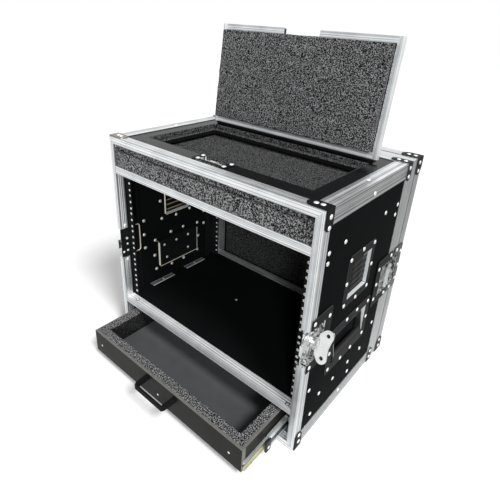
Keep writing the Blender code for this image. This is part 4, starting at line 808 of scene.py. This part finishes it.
def domes(name, spots, outward, body, radius=0.0043, height=0.0016):
    """Rivet heads, one mesh: rings of radius R sin t at height H cos t, t from 0 to a quarter
    turn, and a last ring just under the surface."""
    outward = np.array(outward, float)
    side = np.cross(outward, (0.3, 0.8, 0.5))
    side /= np.linalg.norm(side)
    other = np.cross(outward, side)
    t = np.linspace(0, np.pi / 2, 6)
    angle = np.linspace(0, 2 * np.pi, 14, endpoint=False)
    ring = np.cos(angle)[:, None] * side + np.sin(angle)[:, None] * other
    reach = np.concatenate([radius * np.sin(t), [radius]])
    rise = np.concatenate([height * np.cos(t), [-0.0001]])
    head = ring[None] * reach[:, None, None] + outward * rise[:, None, None]
    spots = np.array(spots, float)
    made = surface(name, spots[:, None, None] + head[None], close_columns=True)
    return place(made, rivet_finish, body)


def both_ways(pairs):
    """Each (a, b) at plus and minus a and b."""
    found = {(i * a, j * b) for a, b in pairs for i in (-1, 1) for j in (-1, 1)}
    return sorted(found)


vent_rivets = both_ways([(0.0465, 0.0484), (0.0, 0.052), (0.0495, 0.0)])
handle_rivets = both_ways([(0.072, 0.042), (0.076, 0.0), (0.021, 0.048)])
latch_front_rivets = both_ways([(0.066, 0.037), (0.0165, 0.047)]) + [(0.065, 0.0)]
latch_rear_rivets = both_ways([(0.066, 0.037), (0.010, 0.048)]) + [(0.066, 0.0)]
strike_rivets = both_ways([(0.021, 0.048), (0.047, 0.036)]) + [(0.047, 0.0)]
panel_rivets = [(0.0775, 0.415), (-0.0795, 0.4145), (-0.1323, 0.4145), (0.1354, 0.4145),
                (0.0866, 0.0784), (0.0306, 0.0787), (-0.0335, 0.0804), (-0.0867, 0.0824),
                (0.0378, 0.0468), (-0.1125, 0.0492), (-0.1307, 0.1256), (-0.132, 0.3955),
                (0.132, 0.3935), (0.131, 0.1245)]
side_brace_rivets = [(front + 0.016, 0.4835), (front + 0.015, 0.4655), (front + 0.016, 0.0115),
                     (front + 0.015, 0.0295)]
rear_brace_y, lid_brace_y, rear_brace_z = 0.1545, 0.207, (0.4865, 0.4685, 0.0085, 0.0265)
tub_tails = [(-0.0056, 0.1962), (-0.0459, 0.1960), (0.0346, 0.1969), (-0.0390, 0.1573),
             (0.0340, 0.1579)]
for side, d in (("left", -1), ("right", 1)):
    outside, flange, latch_flange, brace = d * 0.2585, d * half_width, d * 0.2615, d * 0.2618
    post, inside, tub = d * 0.2455, d * 0.249, d * 0.2419
    vent = [(vent_centre[0] + y, vent_centre[1] + z) for y, z in vent_rivets]
    handle = [(handle_centre[0] + y, handle_centre[1] + z) for y, z in handle_rivets]
    latch_front = [(u, latch_z + z) for u, z in latch_front_rivets if u > 0]
    latch_rear = [(u, latch_z + z) for u, z in latch_rear_rivets if u > 0]
    spots = [(flange, y, z) for y, z in vent + handle]
    spots += [(latch_flange, front + u, z) for u, z in latch_front]
    spots += [(latch_flange, rear - u, z) for u, z in latch_rear]
    spots += [(outside, y, z) for y, z in panel_rivets]
    spots += [(flange, 0.003, 0.4755), (flange, 0.003, 0.0205)]
    spots += [(brace, y, z) for y, z in side_brace_rivets]
    spots += [(latch_flange, rear_brace_y, z) for z in rear_brace_z]
    domes(f"rivets_{side}", spots, (d, 0, 0), "case")
    lid_spots = [(latch_flange, rear + u, latch_z + z) for u, z in strike_rivets if u > 0]
    lid_spots += [(latch_flange, lid_brace_y, z) for z in rear_brace_z]
    domes(f"rivets_lid_{side}", lid_spots, (d, 0, 0), "rear_lid")
    domes(f"rivet_tails_handle_{side}", [(tub, y, z) for y, z in tub_tails], (-d, 0, 0), "case",
          0.0036, 0.0020)
    tails = [(inside, y, z) for y, z in vent + handle]
    tails += [(inside, front + u, z) for u, z in latch_front if u > 0.02]
    tails += [(inside, rear - u, z) for u, z in latch_rear if u > 0.02]
    domes(f"rivet_tails_{side}", tails, (-d, 0, 0), "case", 0.0043, 0.0028)
    domes(f"rivets_post_{side}", [(post, front + 0.0125, z) for z in (0.2875, 0.1985)],
          (-d, 0, 0), "case", 0.0046, 0.0018)

for name, body, above, spots in (
        ("rivets_braces_top", "case", 0.0018, ((0.024, front + 0.0145), (0.013, front + 0.0155))),
        ("rivets_rear_braces_top", "case", 0.0015, ((0.024, rear_brace_y), (0.010, rear_brace_y))),
        ("rivets_lid_braces_top", "rear_lid", 0.0015,
         ((0.024, lid_brace_y), (0.010, lid_brace_y))),
        ("rivets_side_edges_top", "case", 0.0, ((0.0165, 0.003),))):
    domes(name, [(d * (half_width - u), y, case_top + above) for d in (-1, 1) for u, y in spots],
          (0, 0, 1), body)
domes("rivets_ledge_latch", [(x, y, case_top) for x, y in (
    (-0.031, -0.130), (-0.035, -0.1122), (0.0347, -0.1308), (0.0364, -0.1122))],
      (0, 0, 1), "case", 0.0044, 0.0014)
hinge_spots = [(x, hinge_y + 0.0115, case_top) for x in np.linspace(-0.185, 0.185, 6)]
domes("rivets_hinge", hinge_spots, (0, 0, 1), "case", 0.003, 0.001)


# Drawer: plywood tray, black outside and dark grey inside, its top edges left as bare grey ply.
# Countersunk screws hold the front.
tray = Finish("drawer_tray", Roughness=0.5, Specular_IOR_Level=0.12)
tray_cloud = tray.noise(30.0, 4.0)
tray_grain = tray.noise(700.0, 3.0, (1.0, 0.2, 1.0))
rim_mask = tray.z.rise(0.0700, 0.0703).most(
    abs(tray.x).rise(0.2212, 0.2214) * tray.y.rise(-0.2603, -0.2606))
inside_mask = (abs(tray.x).rise(0.2123, 0.2119) * tray.y.rise(-0.2608, -0.2604)
               * tray.y.rise(0.0108, 0.0104))
outer_paint = tray.blend(tray_cloud, tint(16, 15, 14), tint(28, 26, 24))
inner_grey = tray.blend(tray_cloud, tint(82, 84, 86), tint(96, 98, 100))
bare_ply = tray.blend(tray_grain, tint(92, 92, 90), tint(138, 137, 132))
tray.vary("Base Color", tray.blend(rim_mask, tray.blend(inside_mask, outer_paint, inner_grey),
                                   bare_ply))
tray.vary("Roughness", tray_cloud * 0.2 + rim_mask * 0.25 + 0.34)
tray.relief(tray_grain, 0.1, 0.0003)
dress(tray, "drawer_box")
drawer_front = -0.27
domes("drawer_screws", [(-0.199, drawer_front, 0.0388), (-0.0032, drawer_front, 0.0327),
                        (0.1914, drawer_front, 0.0385)], (0, -1, 0), "drawer", 0.0024, 0.0004)
domes("drawer_floor_screw", [(0.194, -0.1774, 0.0205)], (0, 0, 1), "drawer", 0.002, 0.0004)


# Drawer slides. A black moulded stop, held by a bright screw, closes the front of each middle
# member. Its foot is cut short, so that it passes over the front bar as the drawer shuts.
stop_inner, stop_outer = 0.2276, 0.2322
stop_plastic = Finish("slide_stops", Roughness=0.55, Specular_IOR_Level=0.4)
stop_cloud = stop_plastic.noise(160.0, 2.0)
stop_plastic.vary("Base Color", stop_plastic.blend(stop_cloud, tint(18, 18, 19), tint(34, 34, 35)))
stop_plastic.vary("Roughness", stop_cloud * 0.2 + 0.45)
for side, d in (("left", -1), ("right", 1)):
    x0, x1 = sorted((d * stop_inner, d * stop_outer))
    stop = rounded_block(f"slide_stop_{side}", (x0, -0.2125, 0.0145), (x1, -0.1985, 0.0415),
                         0.0006, 0.003, 0.0)
    place(stop, stop_plastic, "slide_middles")
    domes(f"slide_stop_screw_{side}", [(d * stop_outer, -0.2055, 0.0240)], (d, 0, 0),
          "slide_middles", 0.0034, 0.0012)


# Shelf. Two small strips of black steel, paler all over and with painted highlights along both
# edges, are screwed down beside the left wall, and screws with dark rings hold the capping
# channel and the shelf.
shelf_top, strip_top, channel_top, strip_x = 0.0950, 0.0968, 0.097, -0.242
# Painted highlights along both edges, on a paler grey all over.
strip_metal = black_steel("shelf_strips", lambda f: (
    abs(f.x - strip_x).rise(0.0048, 0.0056) * 0.55 + 0.16), rough=0.45,
                          pale=tint(225, 227, 232))
for name, y0, y1 in (("front", -0.091, -0.020), ("rear", 0.024, 0.092)):
    strip = rounded_block(f"shelf_strip_{name}", (-0.2486, y0, shelf_top),
                          (-0.2352, y1, strip_top), 0.0005, 0.004, 0.0)
    place(strip, strip_metal, "case")
domes("shelf_screws", [(strip_x, -0.054, strip_top), (strip_x, 0.058, strip_top),
                       (0.2308, -0.1266, shelf_top), (-0.0432, 0.0121, shelf_top)], (0, 0, 1),
      "case", 0.003, 0.001)
edge_screws = [(0.2342, -0.1596, channel_top), (-0.2156, -0.1555, channel_top)]
domes("shelf_edge_rings", edge_screws, (0, 0, 1), "case", 0.0044, 0.0004).data.materials[0] = (
    plain_steel.material)
domes("shelf_edge_screws", [(x, y, z + 0.0004) for x, y, z in edge_screws], (0, 0, 1), "case",
      0.0030, 0.0008)


# Rack rails. Each hole has a zinc-plated threaded bush pressed in, with a rim 0.3 mm proud of
# the rail's front.
bay_floor, rack_unit, rack_hole_x = 0.1031, 0.04445, 0.23255
hole_heights = [bay_floor + unit * rack_unit + z
                for unit in range(7) for z in (0.00635, 0.022225, 0.0381)]
bush_section = np.array([(0.0013, -0.0003), (0.0029, -0.0003), (0.0029, 0.0), (0.0026, 0.0),
                         (0.0026, 0.002), (0.0013, 0.002)])
for end, face, into in (("front", front + 0.022, 1), ("rear", rear - 0.028, -1)):
    for side, d in (("left", -1), ("right", 1)):
        bush = turned((0, 0, 0), (0, into, 0), (1, 0, 0), bush_section[:, 1],
                      bush_section[:, 0], 12)[::into]
        spots = np.array([(d * rack_hole_x, face, z) for z in hole_heights])
        made = surface(f"rail_bushes_{end}_{side}", spots[:, None, None] + bush[None],
                       close_rows=True, close_columns=True)
        place(made, rivet_finish, "case")


# Vent louvres. Hoods pressed out over the slots, so that air passes but light doesn't. Each is
# a black bowed strip with a painted highlight along its lower edge.
hood_finish = Finish("vent_hoods", Roughness=0.45, Specular_IOR_Level=0.15)
vent_slots = 6
vent_pitch, vent_low = 2 * vent_half[1] / vent_slots, vent_centre[1] - vent_half[1]
hood_phase = ((hood_finish.z - vent_low - 0.0048) / vent_pitch).math("FRACT")
hood_cloud = hood_finish.noise(45.0, 3.0)
# Painted highlight on the lower edge of each hood's inner face.
hood_highlight = (hood_phase.rise(0.42, 0.12) * (hood_cloud * 0.5 + 0.45)
             * abs(hood_finish.x).rise(0.2535, 0.2533))
hood_finish.vary("Base Color", hood_finish.blend(hood_highlight, tint(16, 16, 16), tint(205, 196, 170)))
hood_finish.vary("Roughness", hood_cloud * 0.2 + 0.35)
middles = vent_low + vent_pitch * (np.arange(vent_slots) + 0.5)
low = np.concatenate([[vent_low + 0.0003], middles - 0.0015])
high = np.concatenate([[vent_low + 0.0036], np.minimum(middles + 0.0096, vent_low + 0.0757)])

# Each strip goes up its inner face and down its outer one, as t goes from 0 to 1 and back:
# x = 253 mm + 0.3 mm sin(pi t), with 0.6 mm more outside, and z = low + (high - low) t.
t = np.concatenate([np.linspace(0, 1, 7), np.linspace(1, 0, 7)])
sheet = np.concatenate([np.zeros(7), np.full(7, 0.0006)])
along = np.array([-0.0372, -0.0372, -0.012, 0.012, 0.0372, 0.0372])
full = np.array([0, 1, 1, 1, 1, 0])
out = 0.2530 + np.sin(np.pi * t)[None] * 0.0003 + sheet[None] * full[:, None]
heights = low[:, None] + (high - low)[:, None] * t[None]
for side, d in (("left", -1), ("right", 1)):
    grid = np.stack(np.broadcast_arrays(d * out[None], vent_centre[0] + along[None, :, None],
                                        heights[:, None, :]), -1)
    hoods = surface(f"vent_hoods_{side}", grid if d > 0 else grid[:, ::-1], close_columns=True)
    place(hoods, hood_finish, "case")


# Front latch dishes. Their floors run on through the notch in the front frame, and a folded
# bead runs round the back of each tub inside the case, its pale cream a painted highlight.
# Its pale cream is a painted highlight: the light that the bead catches.
bead_finish = Finish("folded_bead", Roughness=0.45, Metallic=0.3)
bead_cloud = bead_finish.noise(60.0, 3.0)
bead_finish.vary("Base Color", bead_finish.blend(bead_cloud, tint(232, 224, 206),
                                                 tint(252, 248, 236)))

# The bead is a tube of 1.7 mm radius, closed at both ends. Its path goes up between two quarter
# turns of 6 mm, and its rings stand square to the path.
corner = np.linspace(0, np.pi / 2, 7)
low_turn = np.stack([-0.1210 + 0.006 * np.sin(corner), 0.2155 - 0.006 * np.cos(corner)], -1)
high_turn = np.stack([-0.1210 + 0.006 * np.cos(corner), 0.2735 + 0.006 * np.sin(corner)], -1)
path = np.concatenate([[(-0.1330, 0.2095)], low_turn, high_turn, [(-0.1270, 0.2795)]])
lead = np.gradient(path, axis=0)
lead /= np.linalg.norm(lead, axis=1, keepdims=True)
angle = np.linspace(0, 2 * np.pi, 12, endpoint=False)
thick = np.full(len(path), 0.0017)
thick[[0, -1]] = 0.0
bulge = np.cos(angle)[None] * thick[:, None]
spread = np.sin(angle)[None] * thick[:, None]
latch_back = 0.2491
for side, d in (("left", -1), ("right", 1)):
    x0, x1 = sorted((d * latch_back, d * 0.2503))
    lip = rounded_block(f"latch_lip_{side}", (x0, front + 0.0004, latch_z - 0.0372),
                        (x1, front + 0.0079, latch_z + 0.0372), 0.0003, 0.004, 0.0)
    place(lip, latch_steel["front"], "case")
    domes(f"latch_lip_rivets_{side}", [(d * latch_back, y, z) for y, z in (
        (-0.1490, 0.2514), (-0.1490, 0.2373), (-0.1490, 0.2200), (-0.1600, 0.2189))],
          (-d, 0, 0), "case", 0.0030, 0.0014)
    bead = np.stack([d * (0.2472 - bulge), path[:, :1] - spread * lead[:, 1:],
                     path[:, 1:] + spread * lead[:, :1]], -1)
    place(surface(f"latch_tub_bead_{side}", bead if d > 0 else bead[::-1], close_columns=True),
          bead_finish, "case")
